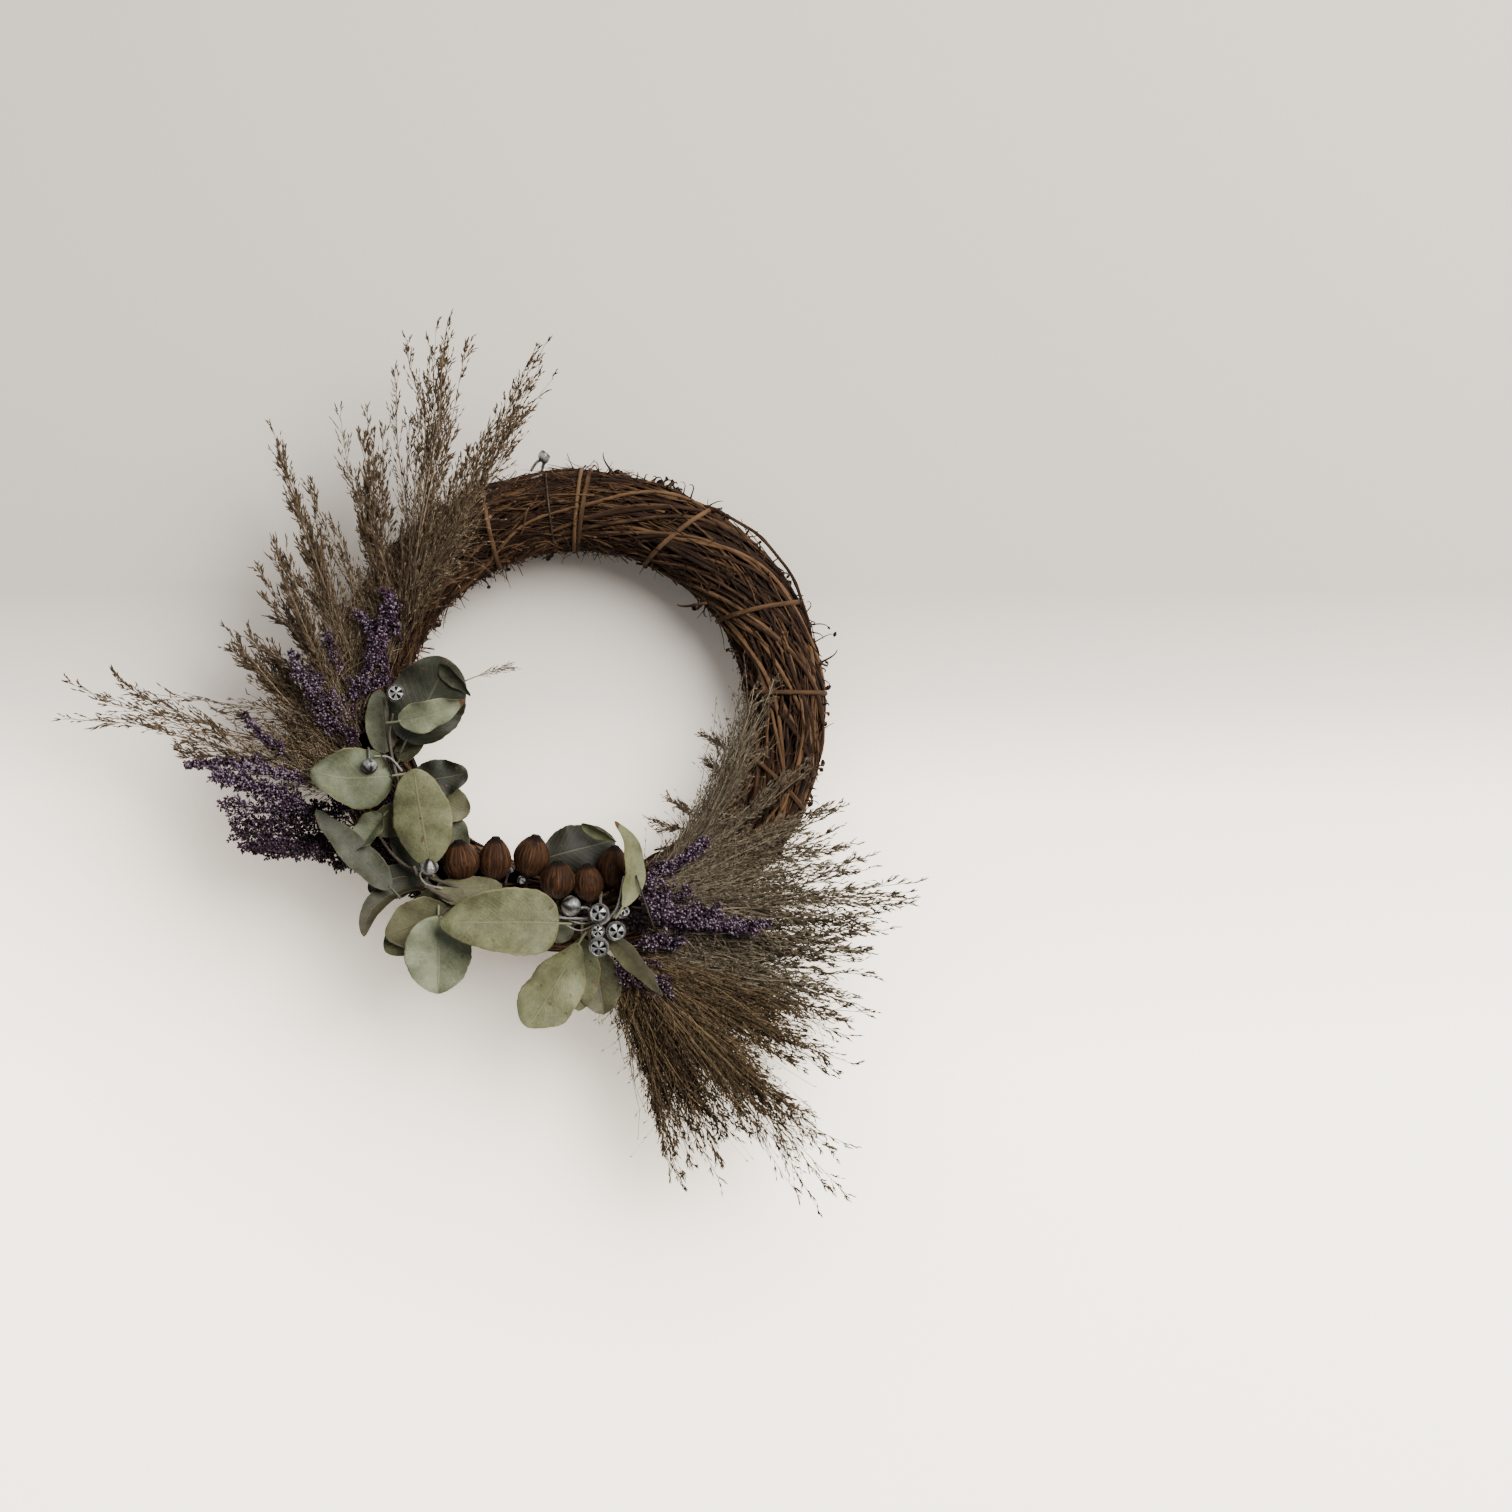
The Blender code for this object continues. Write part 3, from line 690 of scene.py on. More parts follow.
def grow_grass(heap, base, along, across, length, half, stems, hairs, husk_size=1.0, bow=0.0, bare=0.36,
               fan=1.7, chaff=0.46, dim=0.0):
    """A bunch of grass: stems that fan out to a half width, their seed heads, and chaff at the foot.
    bow bends it sideways and bare is the share of a stem with no twigs. chaff is how far up the fluff
    reaches, as a share of the length, and dim makes it darker."""
    twigs = 24
    share = np.linspace(0, 1, 16)
    out = np.cross(along, across)
    out = out if out @ FRONT > 0 else -out
    reach = length * draw.uniform(0.52, 0.97, (stems, 1))
    reach[0] = length
    lean = draw.uniform(-1, 1, (stems, 1)) * half / length * fan
    lean[0] = draw.normal(0, 0.02)
    tilt = draw.uniform(-0.05, 0.07, (stems, 1))
    run = reach * share
    sway = wander(draw, stems, share * length, (0.07, 0.13, 0.21), 0.0017) * share
    aside = lean * run * (0.5 + 0.6 * share) + sway + draw.normal(0, 0.0022, (stems, 1)) * (1 - share)
    aside = aside + bow * length * 4 * share * (1 - share)
    deep = tilt * run + draw.uniform(-0.002, 0.003, (stems, 1))
    deep = deep + wander(draw, stems, share * length, (0.09, 0.2), 0.001)
    paths = base + along * run[..., None] + across * aside[..., None] + out * deep[..., None]
    radii = draw.uniform(0.00034, 0.00052, (stems, 1)) * (1 - 0.62 * share)
    add_tubes(heap, in_front_of_wall(paths), radii, 5, draw.uniform(0.35, 0.95, stems), draw)

    at = draw.uniform(bare, 0.985, (stems, twigs))
    at[:, 0] = 0.99
    spots, ways = at_share(paths, at)
    around = draw.choice([0, pi], (stems, twigs)) + draw.normal(0, 0.7, (stems, twigs))
    open_angle = draw.uniform(0.16, 0.55, (stems, twigs))
    off = across * np.cos(around)[..., None] + out * np.sin(around)[..., None]
    heads = unit(ways * np.cos(open_angle)[..., None] + off * np.sin(open_angle)[..., None])
    size = (0.005 + 0.15 * (1 - at) * reach) * draw.uniform(0.55, 1.25, (stems, twigs))
    steps = np.linspace(0, 1, 5)
    inward = ways[:, :, None] * (steps**2)[:, None] * 0.25
    drift = draw.normal(0, 0.07, (stems, twigs, 1, 3)) * (steps**2)[:, None]
    runs = (heads[:, :, None] * steps[:, None] + inward + drift) * size[..., None, None]
    branches = in_front_of_wall((spots[:, :, None] + runs).reshape(-1, 5, 3))
    add_tubes(heap, branches, 0.00019 - 0.00008 * steps, 3, draw.uniform(0.2, 0.7, len(branches)), draw)
    long, thick = (0.0026 * husk_size, 0.0046 * husk_size), (0.00036 * husk_size, 0.00056 * husk_size)
    husks_along(heap, branches, 5, long, thick, (0.0, 0.6))

    if not hairs:
        return
    share = np.linspace(0, 1, 8)
    long = hairs // 4
    reach = length * draw.uniform(0.16, chaff + 0.1, (long, 1))
    lean = draw.normal(0, 0.5 * fan, (long, 1)) * half / length + draw.normal(0, 0.06, (long, 1))
    run = reach * share
    aside = lean * run + draw.normal(0, 0.0032, (long, 1))
    aside = aside + wander(draw, long, share, (0.4, 0.9), 0.0016) * share + bow * 4 * run * (1 - run / length)
    deep = draw.uniform(-0.004, 0.006, (long, 1)) + draw.normal(0, 0.07, (long, 1)) * run
    thin = draw.uniform(0.00014, 0.00030, (long, 1)) * (1 - 0.5 * share)
    lay_chaff(heap, base, along, across, out, run, aside, deep, thin, -dim)

    short = hairs - long
    off = draw.normal(0, 0.5, (short, 1))
    lobe = np.sin(off * draw.uniform(4, 7) + draw.uniform(0, 2 * pi))
    start = length * chaff * (0.84 + 0.28 * lobe) * draw.uniform(0.0, 1.0, (short, 1)) ** 1.2
    bearing = off * half * fan / length * 0.8 + draw.normal(0, 0.30, (short, 1))
    bearing = bearing + draw.normal(0, 0.6, (short, 1)) * share
    step = draw.uniform(0.0010, 0.0042, (short, 1))
    run = start + np.cumsum(np.cos(bearing) * step, axis=1)
    aside = off * (0.004 + half * fan / 1.7 * start / length) + np.cumsum(np.sin(bearing) * step, axis=1)
    deep = draw.uniform(-0.004, 0.007, (short, 1)) + draw.normal(0, 0.002, (short, 1)) * share
    thin = draw.uniform(0.00012, 0.00026, (short, 1)) * (1 - 0.5 * share)
    aside = aside + bow * 4 * run * (1 - run / length)
    streak = 0.30 * np.sin(off[:, 0] * 11 + lobe[0, 0])
    lay_chaff(heap, base, along, across, out, run, aside, deep, thin, streak - dim)


def lay_chaff(heap, base, along, across, out, run, aside, deep, thin, lighter):
    """Fine fibres placed along, across and out of a bunch, with a few small husks on each."""
    chaff = base + along * run[..., None] + across * aside[..., None] + out * deep[..., None]
    add_tubes(heap, in_front_of_wall(chaff), thin, 3, draw.uniform(0.1, 1.0, len(chaff)) + lighter, draw)
    husks_along(heap, chaff, 3, (0.0014, 0.0032), (0.00022, 0.00046), (0.0, 0.85), 0.45)


left_tie = on_ring(radians(205), 0.2 * bundle, bundle)
right_tie = on_ring(radians(280), 0.3 * bundle, bundle)
left_lies = [lie_of(f"grass_left_{i}", left_tie) for i in range(1, 8)]
right_lies = [lie_of(f"grass_right_{i}", right_tie) for i in range(1, 7)]


def between(one, other, share):
    """The lie of a bunch between two others, a little shorter than they are."""
    base = one[0] * (1 - share) + other[0] * share
    along = unit(one[1] * (1 - share) + other[1] * share)
    face = unit(one[3] + other[3])
    across = unit(np.cross(face, along))
    length = (one[4] * (1 - share) + other[4] * share) * 0.9
    return base, along, across, np.cross(along, across), length, (one[5] + other[5]) / 2


for i, (base, along, across, face, length, width) in enumerate(left_lies, 1):
    bunch = Heap()
    stems, hairs, fan = (9, 200, 2.3) if i == 1 else (12, 360, 1.15)
    shape = {"bare": 0.45, "fan": fan, "chaff": 0.36, "dim": 0.35 if i > 4 else 0.0}
    grow_grass(bunch, base, along, across, length, width / 2, stems, hairs, **shape)
    bunch.piece(f"grass_left_{i}_bunch", grey_straw, [f"grass_left_{i}"])
gaps = ((0, 0.45), (0, 0.75), (1, 0.5), (2, 0.5), (3, 0.5), (4, 0.5), (5, 0.5))
for count, (i, share) in enumerate(gaps, 1):
    bunch = Heap()
    base, along, across, face, length, width = between(left_lies[i], left_lies[i + 1], share)
    hairs, reach = (240, 0.44) if count in (4, 5, 6) else (360, 0.56)
    shape = {"fan": 1.8, "chaff": 0.48, "dim": 0.35 if count > 5 else 0.0}
    grow_grass(bunch, base, along, across, length * reach, width / 2, 4, hairs, 0.9, **shape)
    bunch.piece(f"grass_left_filling_{count}", grey_straw)
for i, (base, along, across, face, length, width) in enumerate(right_lies, 1):
    bunch = Heap()
    olive = i <= 3
    stems, hairs, size, fan, chaff = (22, 420, 1.0, 2.6, 0.46) if olive else (24, 880, 0.9, 1.6, 0.66)
    shape = {"bare": 0.25, "fan": fan, "chaff": chaff}
    grow_grass(bunch, base, along, across, length, width / 2, stems, hairs, size, **shape)
    look = olive_straw if olive else gold_straw
    bunch.piece(f"grass_right_{i}_bunch", look, [f"grass_right_{i}"])
for name, look, shorter, chaff, gaps in (
    ("grass_right_filling", olive_straw, 1, 0.46, ((0, 0.5), (1, 0.35), (1, 0.7), (2, 0.3), (2, 0.7))),
    ("grass_right_gold_filling", gold_straw, 0.78, 0.66, ((3, 0.35), (3, 0.7), (4, 0.35), (4, 0.7))),
):
    for count, (i, share) in enumerate(gaps, 1):
        bunch = Heap()
        base, along, across, face, length, width = between(right_lies[i], right_lies[i + 1], share)
        shape = {"bare": 0.22, "fan": 1.9, "chaff": chaff}
        grow_grass(bunch, base, along, across, shorter * length, width / 2, 16, 560, 0.9, **shape)
        bunch.piece(f"{name}_{count}", look)
base, along, across, face, length, width = lie_of("grass_inner", right_tie)
along = along * cos(0.13) + np.cross(FRONT, along) * sin(0.13)
across = np.cross(face, along)
bunch = Heap()
shape = {"bow": -0.05, "bare": 0.2, "fan": 1.3, "chaff": 0.75}
grow_grass(bunch, base, along, across, length * 1.10, width / 2, 14, 520, 0.6, **shape)
bunch.piece("grass_inner_bunch", olive_straw, ["grass_inner"])


def beside_ring(dx, dz, above=0.0):
    """A place at an offset from the ring's middle, in millimetres, and a height over the bundle's front."""
    return np.array([ring_middle.x + dx / 1000, ring_middle.y - bundle - above, ring_middle.z + dz / 1000])


def line_up(start, end):
    """The way from one place to another, the way across it, and the length."""
    length = np.linalg.norm(end - start)
    along = (end - start) / length
    return along, unit(np.cross(FRONT, along)), length


def grow_sprig(heap, start, end, stems, husk_size):
    """One or two loose stems of grass between two places."""
    along, across, length = line_up(start, end)
    grow_grass(heap, start, along, across, length, length * 0.06, stems, 0, husk_size, bare=0.3)


loose = Heap()
grow_sprig(loose, beside_ring(-66, 19, -0.004), beside_ring(-39, 26, 0.0), 1, 0.5)
for dx, dz, tip_dx, tip_dz in (
    (96, -28, 80, -14), (92, -44, 78, -30), (74, -66, 57, -52), (70, -72, 48, -68),
):
    grow_sprig(loose, beside_ring(dx, dz, -0.006), beside_ring(tip_dx, tip_dz, 0.0), 2, 0.6)
for dx, dz, tip_dx, tip_dz in (
    (-120, 12, -176, 56), (-128, 6, -196, 44), (-130, -4, -202, 36), (-132, -10, -256, 16),
    (-150, -22, -300, 6), (-132, 34, -180, 92), (-118, 48, -162, 130), (-112, 60, -139, 176),
    (-98, 84, -112, 200), (-84, 96, -84, 228),
):
    grow_sprig(loose, beside_ring(dx, dz, 0.002), beside_ring(tip_dx, tip_dz, 0.006), 2, 0.9)
loose.piece("grass_loose_stems", grey_straw)

# The heather.
# Sprigs of dried purple heather over the foot of each fan, tied in with the grass stems.
# Each is a thin twig with side shoots, and tiny dry bells stand all round the shoots and hide them.
heather_look, add, finish = new_finish("dried heather")
tone = grain_and_tone(add)[1]
patch = noise(add, add("TexCoord").outputs["Object"], 160.0, 3.0)
shade = colour_steps(
    add, stretch(add, maths(add, "ADD", patch, tone), 0.35, 1.5), (0.0, 0.008, 0.0042, 0.0045),
    (0.44, 0.026, 0.0120, 0.0205), (0.78, 0.077, 0.043, 0.075), (1.0, 0.26, 0.195, 0.25),
)
finish({"Base Color": shade, "Roughness": 0.8, "Specular IOR Level": 0.2})


def grow_heather(heap, base, along, across, length, half, florets, shade=0.0):
    """A sprig: a twig, side shoots that get shorter to its tip, and bells over all of them."""
    share = np.linspace(0, 1, 14)
    out = np.cross(along, across)
    out = out if out @ FRONT > 0 else -out
    sway = wander(draw, 2, share * length, (0.03, 0.07), 0.0009)
    stem = base + along * (share * length)[:, None] + across * sway[0][:, None] + out * sway[1][:, None]
    add_tubes(heap, in_front_of_wall(stem[None].copy()), (0.0007 * (1 - 0.5 * share))[None], 6, 0.1, draw)
    shoots = int(length / 0.0032)
    at = np.linspace(0.14, 0.97, shoots)[None]
    spots, ways = at_share(stem[None], at)
    spots, ways = spots[0], ways[0]
    around = 2.4 * np.arange(shoots) + draw.normal(0, 0.4, shoots)
    off = across * np.cos(around)[:, None] + out * np.sin(around)[:, None] * 0.8
    head = unit(ways * 0.85 + off * draw.uniform(0.5, 0.9, (shoots, 1)))
    size = half * draw.uniform(0.7, 1.7, shoots) * (1.1 - 0.55 * at[0])
    steps = np.linspace(0, 1, 6)
    rise = head[:, None] * steps[:, None] + ways[:, None] * (steps**2)[:, None] * 0.3
    side = spots[:, None] + rise * size[:, None, None]
    add_tubes(heap, in_front_of_wall(side), 0.00035 - 0.0001 * steps, 4, 0.1, draw)
    each = max(5, int(1.3 * florets / shoots))
    spots, ways = at_share(side, draw.uniform(0.08, 1.0, (shoots, each)))
    spin = draw.normal(0, 1, spots.shape)
    off = unit(spin - (spin * ways).sum(axis=-1, keepdims=True) * ways)
    head = unit(off + ways * draw.uniform(0.1, 0.9, (shoots, each, 1)))
    root = spots + off * draw.uniform(0.0002, 0.0014, (shoots, each, 1))
    size = draw.uniform(0.0013, 0.0022, (shoots, each, 1, 1))
    steps = np.array([0.0, 0.3, 0.65, 0.88, 1.0])
    bells = (root[:, :, None] + head[:, :, None] * steps[:, None] * size).reshape(-1, 5, 3)
    width = draw.uniform(0.00045, 0.00075, (len(bells), 1)) * np.array([0.35, 0.9, 1.0, 0.7, 0.95])
    # shade darkens or lightens all the bells of a sprig; the strongly darkened sprigs are painted shade.
    light = draw.uniform(-0.25, 0.45, (len(bells), 1)) + np.array([0.0, 0.2, 0.35, 0.5, 0.75]) + shade
    add_tubes(heap, in_front_of_wall(bells), width, 5, light, draw)


for node, tie, florets, shade in (
    ("heather_left_1", left_tie, 620, 0.0), ("heather_left_2", left_tie, 520, 0.0),
    ("heather_left_3", left_tie, 900, 0.05), ("heather_left_4", left_tie, 520, -0.25),
    ("heather_right_1", right_tie, 460, 0.0), ("heather_right_2", right_tie, 800, 0.0),
    ("heather_right_3", right_tie, 420, -0.05),
):
    base, along, across, face, length, width = lie_of(node, tie)
    length = length * {"heather_left_3": 0.80, "heather_right_2": 0.90}.get(node, 1.0)
    width = width * (0.72 if node == "heather_right_2" else 1.0)
    sprig = Heap()
    grow_heather(sprig, base, along, across, length, width / 2, florets, shade)
    sprig.piece(node + "_sprig", heather_look, [node])


BELLS_A_METRE = 7500


def more_heather(name, sprigs):
    """Sprigs between two places each, given as offsets from the ring's middle in millimetres."""
    heap = Heap()
    for dx, dz, tip_dx, tip_dz, above, half, shade in sprigs:
        start = beside_ring(dx, dz, above)
        along, across, length = line_up(start, beside_ring(tip_dx, tip_dz, above + 0.002))
        grow_heather(heap, start, along, across, length, half, int(length * BELLS_A_METRE), shade)
    heap.piece(name, heather_look)


more_heather("heather_left_top", (
    (-103, 40, -110, 68, 0.013, 0.006, -0.05), (-110, 30, -124, 56, 0.013, 0.006, 0.05),
    (-112, 12, -116, 48, 0.012, 0.006, -0.1), (-137, 16, -145, 44, 0.013, 0.006, -0.05),
    (-122, -8, -158, 22, 0.014, 0.007, -0.05), (-126, -26, -146, 10, 0.015, 0.008, -0.1),
    (-137, 5, -112, 18, 0.016, 0.006, -0.1), (-168, -30, -195, -4, 0.013, 0.0035, -0.1),
    (-175, -29, -230, -32, 0.013, 0.003, -0.1),
))
more_heather("heather_left_outer", (
    (-148, -60, -212, -36, 0.011, 0.009, 0.1), (-140, -62, -205, -56, 0.012, 0.010, 0.05),
))
# Painted shade: most sprigs here and in the next two groups are darkened, to fill the shade low on the left
# of the ring.
more_heather("heather_left_under", (
    (-134, -64, -200, -66, 0.008, 0.009, -0.15), (-126, -74, -198, -74, 0.008, 0.009, -0.3),
    (-122, -82, -186, -84, 0.005, 0.008, -0.45), (-134, -78, -192, -80, 0.009, 0.008, -0.35),
    (-152, -40, -200, -34, 0.016, 0.0035, 0.15),
))
more_heather("heather_left_low", (
    (-118, -56, -168, -60, 0.006, 0.009, -0.35), (-112, -70, -158, -76, 0.005, 0.010, -0.5),
    (-100, -84, -150, -88, 0.002, 0.010, -0.5),
))
more_heather("heather_left_painted_shade", (
    (-96, -92, -140, -92, -0.004, 0.010, -0.55), (-84, -80, -118, -70, 0.004, 0.010, -0.55),
    (-74, -104, -104, -92, 0.002, 0.010, -0.55), (-86, -60, -110, -52, 0.002, 0.008, -0.5),
    (-100, -30, -122, -36, 0.006, 0.008, -0.5), (-60, -112, -92, -112, 0.002, 0.009, -0.55),
    (-20, -124, -58, -120, 0.002, 0.009, -0.6), (16, -120, -20, -122, 0.004, 0.008, -0.6),
))
more_heather("heather_right_more", (
    (38, -106, 76, -79, 0.014, 0.005, 0.0), (34, -116, 84, -120, 0.020, 0.008, 0.05),
    (30, -110, 66, -108, 0.016, 0.008, 0.0), (34, -140, 60, -136, 0.017, 0.009, 0.05),
    (30, -148, 54, -162, 0.016, 0.009, -0.05), (58, -124, 112, -127, 0.020, 0.006, 0.0),
    # Painted shade: the last four sprigs are darkened.
    (16, -146, 42, -162, 0.008, 0.007, -0.3), (20, -120, 44, -126, 0.008, 0.010, -0.55),
    (18, -136, 38, -148, 0.006, 0.009, -0.55), (26, -100, 50, -92, 0.008, 0.007, -0.4),
))

# The leaves.
# Dried gum leaves, grey green to olive, thin and stiff, each dished, curled or wavy in its own way.
# They grow from stalks tucked under the pods and lie in front of the bundle.


WITHERED = (0.075, 0.036, 0.015)


def blend(add, share, under, over):
    """A colour with another, plain one laid over a share of it."""
    return add("MixRGB", {"Fac": share, "Color1": under, "Color2": (*over, 1)}).outputs[0]


def leaf_skin(name, dark, green, pale, rim, rib):
    """A dry leaf: mottled green, a midrib and side veins, a dry rim, and brown where it has withered.
    Its grain is how far a point is from the midrib, how far along the leaf, and how withered."""
    material, add, finish = new_finish(name)
    grain, tone = grain_and_tone(add)
    side, run, dry = add("SeparateXYZ", {0: grain}).outputs
    aside = maths(add, "ABSOLUTE", side)
    place = add("TexCoord").outputs["Object"]
    patch = noise(add, place, 85.0, 8.0, 0.72)
    speck = noise(add, place, 850.0, 3.0)

    mottled = maths(add, "MULTIPLY_ADD", speck, 0.45, maths(add, "MULTIPLY_ADD", patch, 1.7, tone))
    shade = colour_steps(add, stretch(add, mottled, 0.85, 2.05), (0.0, *dark), (0.5, *green), (1.0, *pale))

    slant = maths(add, "MULTIPLY_ADD", aside, -0.34, run)
    ripple = maths(add, "SINE", maths(add, "MULTIPLY", slant, 75.0))
    veins = maths(add, "MULTIPLY", stretch(add, ripple, 0.80, 1.0), 0.22)
    lines = maths(add, "MAXIMUM", veins, stretch(add, aside, 0.050, 0.012, 0.0, 0.8))
    rimmed = blend(add, stretch(add, aside, 0.95, 1.0, 0.0, 0.8), blend(add, lines, shade, rib), rim)

    spots = stretch(add, noise(add, place, 210.0, 1.0), 0.72, 0.76, 0.0, 0.8)
    gone = stretch(add, maths(add, "MULTIPLY_ADD", patch, 0.6, dry), 0.72, 0.92)
    fine = relief(add, speck, 0.0003, 0.35, relief(add, lines, 0.0005, 0.5))
    finish({
        "Base Color": blend(add, maths(add, "MAXIMUM", spots, gone), rimmed, WITHERED),
        "Normal": relief(add, patch, 0.0015, 0.35, fine),
        "Roughness": 0.62,
        "Specular IOR Level": 0.35,
    })
    return material


sage_skin = leaf_skin(
    "sage leaf", dark=(0.028, 0.032, 0.016), green=(0.082, 0.092, 0.049), pale=(0.185, 0.200, 0.118),
    rim=(0.15, 0.125, 0.055), rib=(0.135, 0.138, 0.078),
)
dark_skin = leaf_skin(
    "dark leaf", dark=(0.008, 0.0085, 0.0048), green=(0.029, 0.0305, 0.0160), pale=(0.094, 0.098, 0.055),
    rim=(0.075, 0.064, 0.033), rib=(0.055, 0.059, 0.035),
)
gold_skin = leaf_skin(
    "golden leaf", dark=(0.029, 0.028, 0.011), green=(0.086, 0.088, 0.039), pale=(0.185, 0.190, 0.096),
    rim=(0.165, 0.120, 0.045), rib=(0.14, 0.132, 0.064),
)
olive_skin = leaf_skin(
    "olive leaf", dark=(0.011, 0.010, 0.005), green=(0.038, 0.034, 0.016), pale=(0.102, 0.096, 0.047),
    rim=(0.16, 0.132, 0.065), rib=(0.075, 0.068, 0.036),
)
LEAF_HALF = 0.00022


def grow_leaf(name, slot, skin, lie, nodes=(), waist=0.85, blunt=0.62, cup=0.0, bend=0.0, turn=0.0,
              twist=0.0, wave=0.03, waves=2.5, tone=0.5, dry=(1.0, 0.0), one_side=0.0, stalk=0.010, fold=0.0):
    """A leaf from its stalk to its tip.
    waist sets where it is widest and blunt how round. cup dishes it across, fold creases it at the rib and
    wave ruffles its edges, as shares of its width. bend leans it out, turn swings it sideways and twist winds
    it, in radians. dry is the share of its length where withering starts and how far it goes, and one_side
    withers one edge."""
    base, along, across, face, length, width = lie
    share = np.linspace(0, 1, 64)
    swing, lean = turn * share, bend * (share - 0.35)
    ways = np.cos(lean)[:, None] * (np.cos(swing)[:, None] * along + np.sin(swing)[:, None] * across)
    ways = ways + np.sin(lean)[:, None] * face
    sides = -np.sin(swing)[:, None] * along + np.cos(swing)[:, None] * across
    faces = np.cross(ways, sides)
    roll = twist * (share - 0.3)
    sides, faces = (
        sides * np.cos(roll)[:, None] + faces * np.sin(roll)[:, None],
        faces * np.cos(roll)[:, None] - sides * np.sin(roll)[:, None],
    )
    middle = base + np.cumsum(ways, axis=0) * length / len(share)
    half = width / 2 * np.maximum(np.sin(pi * np.clip(share, 0.001, 0.999) ** waist), 0) ** blunt + 0.0003
    u = np.linspace(-1, 1, 33)
    phase = draw.uniform(0, 2 * pi, 3)
    side_phase = np.where(u > 0, phase[0], phase[1])
    ruffle = np.abs(u) ** 2.2 * np.sin(2 * pi * waves * share[:, None] + side_phase) * wave * width
    ruffle = ruffle + 0.35 * wave * width * np.sin(2 * pi * 1.3 * share[:, None] + phase[2]) * (1 - u**2)
    dish = cup * width * (u**2) * np.sin(pi * share[:, None] ** 0.7) + fold * width * np.abs(u)
    rib = -0.00035 * np.exp(-((u / 0.05) ** 2)) * (1 - 0.8 * share[:, None])
    ragged = 1 + 0.012 * np.sin(9 * pi * share[:, None] + side_phase)
    ragged = ragged + 0.008 * np.sin(23 * pi * share[:, None] + phase[2])
    rise = (ruffle + dish + rib) * np.minimum(1, half / (0.2 * width))[:, None]
    out = sides[:, None] * (u * half[:, None] * ragged)[..., None]
    top = middle[:, None] + out + faces[:, None] * rise[..., None]
    thick = LEAF_HALF * (1 - 0.7 * np.abs(u) ** 8)
    skin_out = faces[:, None] * thick[:, None]
    ring = np.concatenate([top + skin_out, (top - skin_out)[:, ::-1]], axis=1)
    quads, ends = tube_faces(*ring.shape[:2])
    wither = np.clip((share - dry[0]) / max(1 - dry[0], 0.01), 0, 1)[:, None] * dry[1]
    wither = np.maximum(wither, np.clip(u * np.sign(one_side), 0, 1) ** 3 * abs(one_side))
    grain = np.stack(np.broadcast_arrays(u, share[:, None], wither), axis=-1)
    grain = np.concatenate([grain, grain[:, ::-1]], axis=1)
    tones = np.concatenate([np.full(len(u), tone), np.full(len(u), tone + 0.14)])
    heap = Heap()
    tones = np.broadcast_to(tones, ring.shape[:2])
    heap.add(in_front_of_wall(ring), quads[:, [0, 3, 2, 1]], ends[:, [0, 2, 1]], grain, tones)
    if stalk:
        steps = np.linspace(0, 1, 10)[:, None]
        path = middle[2] - ways[0] * stalk * (1 - steps) - faces[0] * 0.002 * (1 - steps) ** 2
        add_tubes(heap, in_front_of_wall(path)[None], np.linspace(0.0009, 0.0006, 10)[None], 8, tone, draw)
        heap.grain[-1] = np.tile([0.0, 0.5, 0.0], (len(heap.points[-1]), 1))
    return heap.piece(name, skin, nodes)


def cad_leaf(node, near, skin, slot, longer=1.0, wider=1.0, shift=(0, 0), aim=0.0, **shape):
    """A leaf in the place of a CAD leaf, which has its stalk end nearest a place by the ring."""
    base, along, across, face, length, width = lie_of(node, beside_ring(*near))
    base = base + np.array([shift[0], 0, shift[1]]) / 1000
    along, across = along * cos(aim) + across * sin(aim), across * cos(aim) - along * sin(aim)
    lie = (base, along, across, face, length * longer, width * wider)
    grow_leaf(node + "_skin", slot, skin, lie, [node], **shape)


def new_leaf(name, skin, slot, start, tip, width, above, rise=0.0, roll=0.0, **shape):
    """A leaf between two places given as offsets from the ring's middle in millimetres."""
    base = beside_ring(*start, above)
    along, across, length = line_up(base, beside_ring(*tip, above + rise))
    face = np.cross(along, across)
    across, face = across * cos(roll) + face * sin(roll), face * cos(roll) - across * sin(roll)
    grow_leaf(name, slot, skin, (base, along, across, face, length, width / 1000), **shape)


UPPER, LOWER_LEFT, BOTTOM = (-106, -28), (-85, -100), (10, -122)
cad_leaf("leaf_upper_round", UPPER, dark_skin, "leaf_green", 1.12, 1.30, (5, -9), waist=0.95, blunt=0.5,
         cup=-0.10, bend=0.25, wave=0.05, tone=0.18, dry=(0.9, 0.6))
cad_leaf("leaf_upper_pale", UPPER, sage_skin, "leaf_sage", 1.05, 0.88, (1, 1), waist=0.66, blunt=0.80,
         cup=0.16, bend=-0.5, wave=0.08, tone=0.74, dry=(0.80, 1.1))
cad_leaf("leaf_kidney", UPPER, sage_skin, "leaf_sage", 1.04, 1.08, (7, 0), waist=0.72, blunt=0.60,
         cup=0.08, bend=0.3, turn=-0.4, wave=0.16, waves=1.4, tone=0.36)
cad_leaf("leaf_large", LOWER_LEFT, gold_skin, "leaf_sage", 1.0, 1.05, (4, 2), waist=0.95, blunt=0.52,
         cup=-0.10, bend=-0.3, wave=0.04, tone=0.56)
cad_leaf("leaf_inner_dark", (-100, -42), dark_skin, "leaf_green", 1.0, 1.15, (1, -1), waist=0.8,
         blunt=0.52, cup=0.12, bend=0.3, wave=0.09, tone=-0.05)
cad_leaf("leaf_narrow_outer", (-104, -112), dark_skin, "leaf_green", 1.05, 1.45, (2, 0), waist=0.75,
         blunt=0.62, cup=0.14, bend=0.3, wave=0.07, tone=0.42, one_side=0.35)
cad_leaf("leaf_low_left", (-60, -105), olive_skin, "leaf_green", 1.05, 1.1, waist=0.9, blunt=0.6,
         cup=0.08, bend=0.2, wave=0.05, tone=0.85)
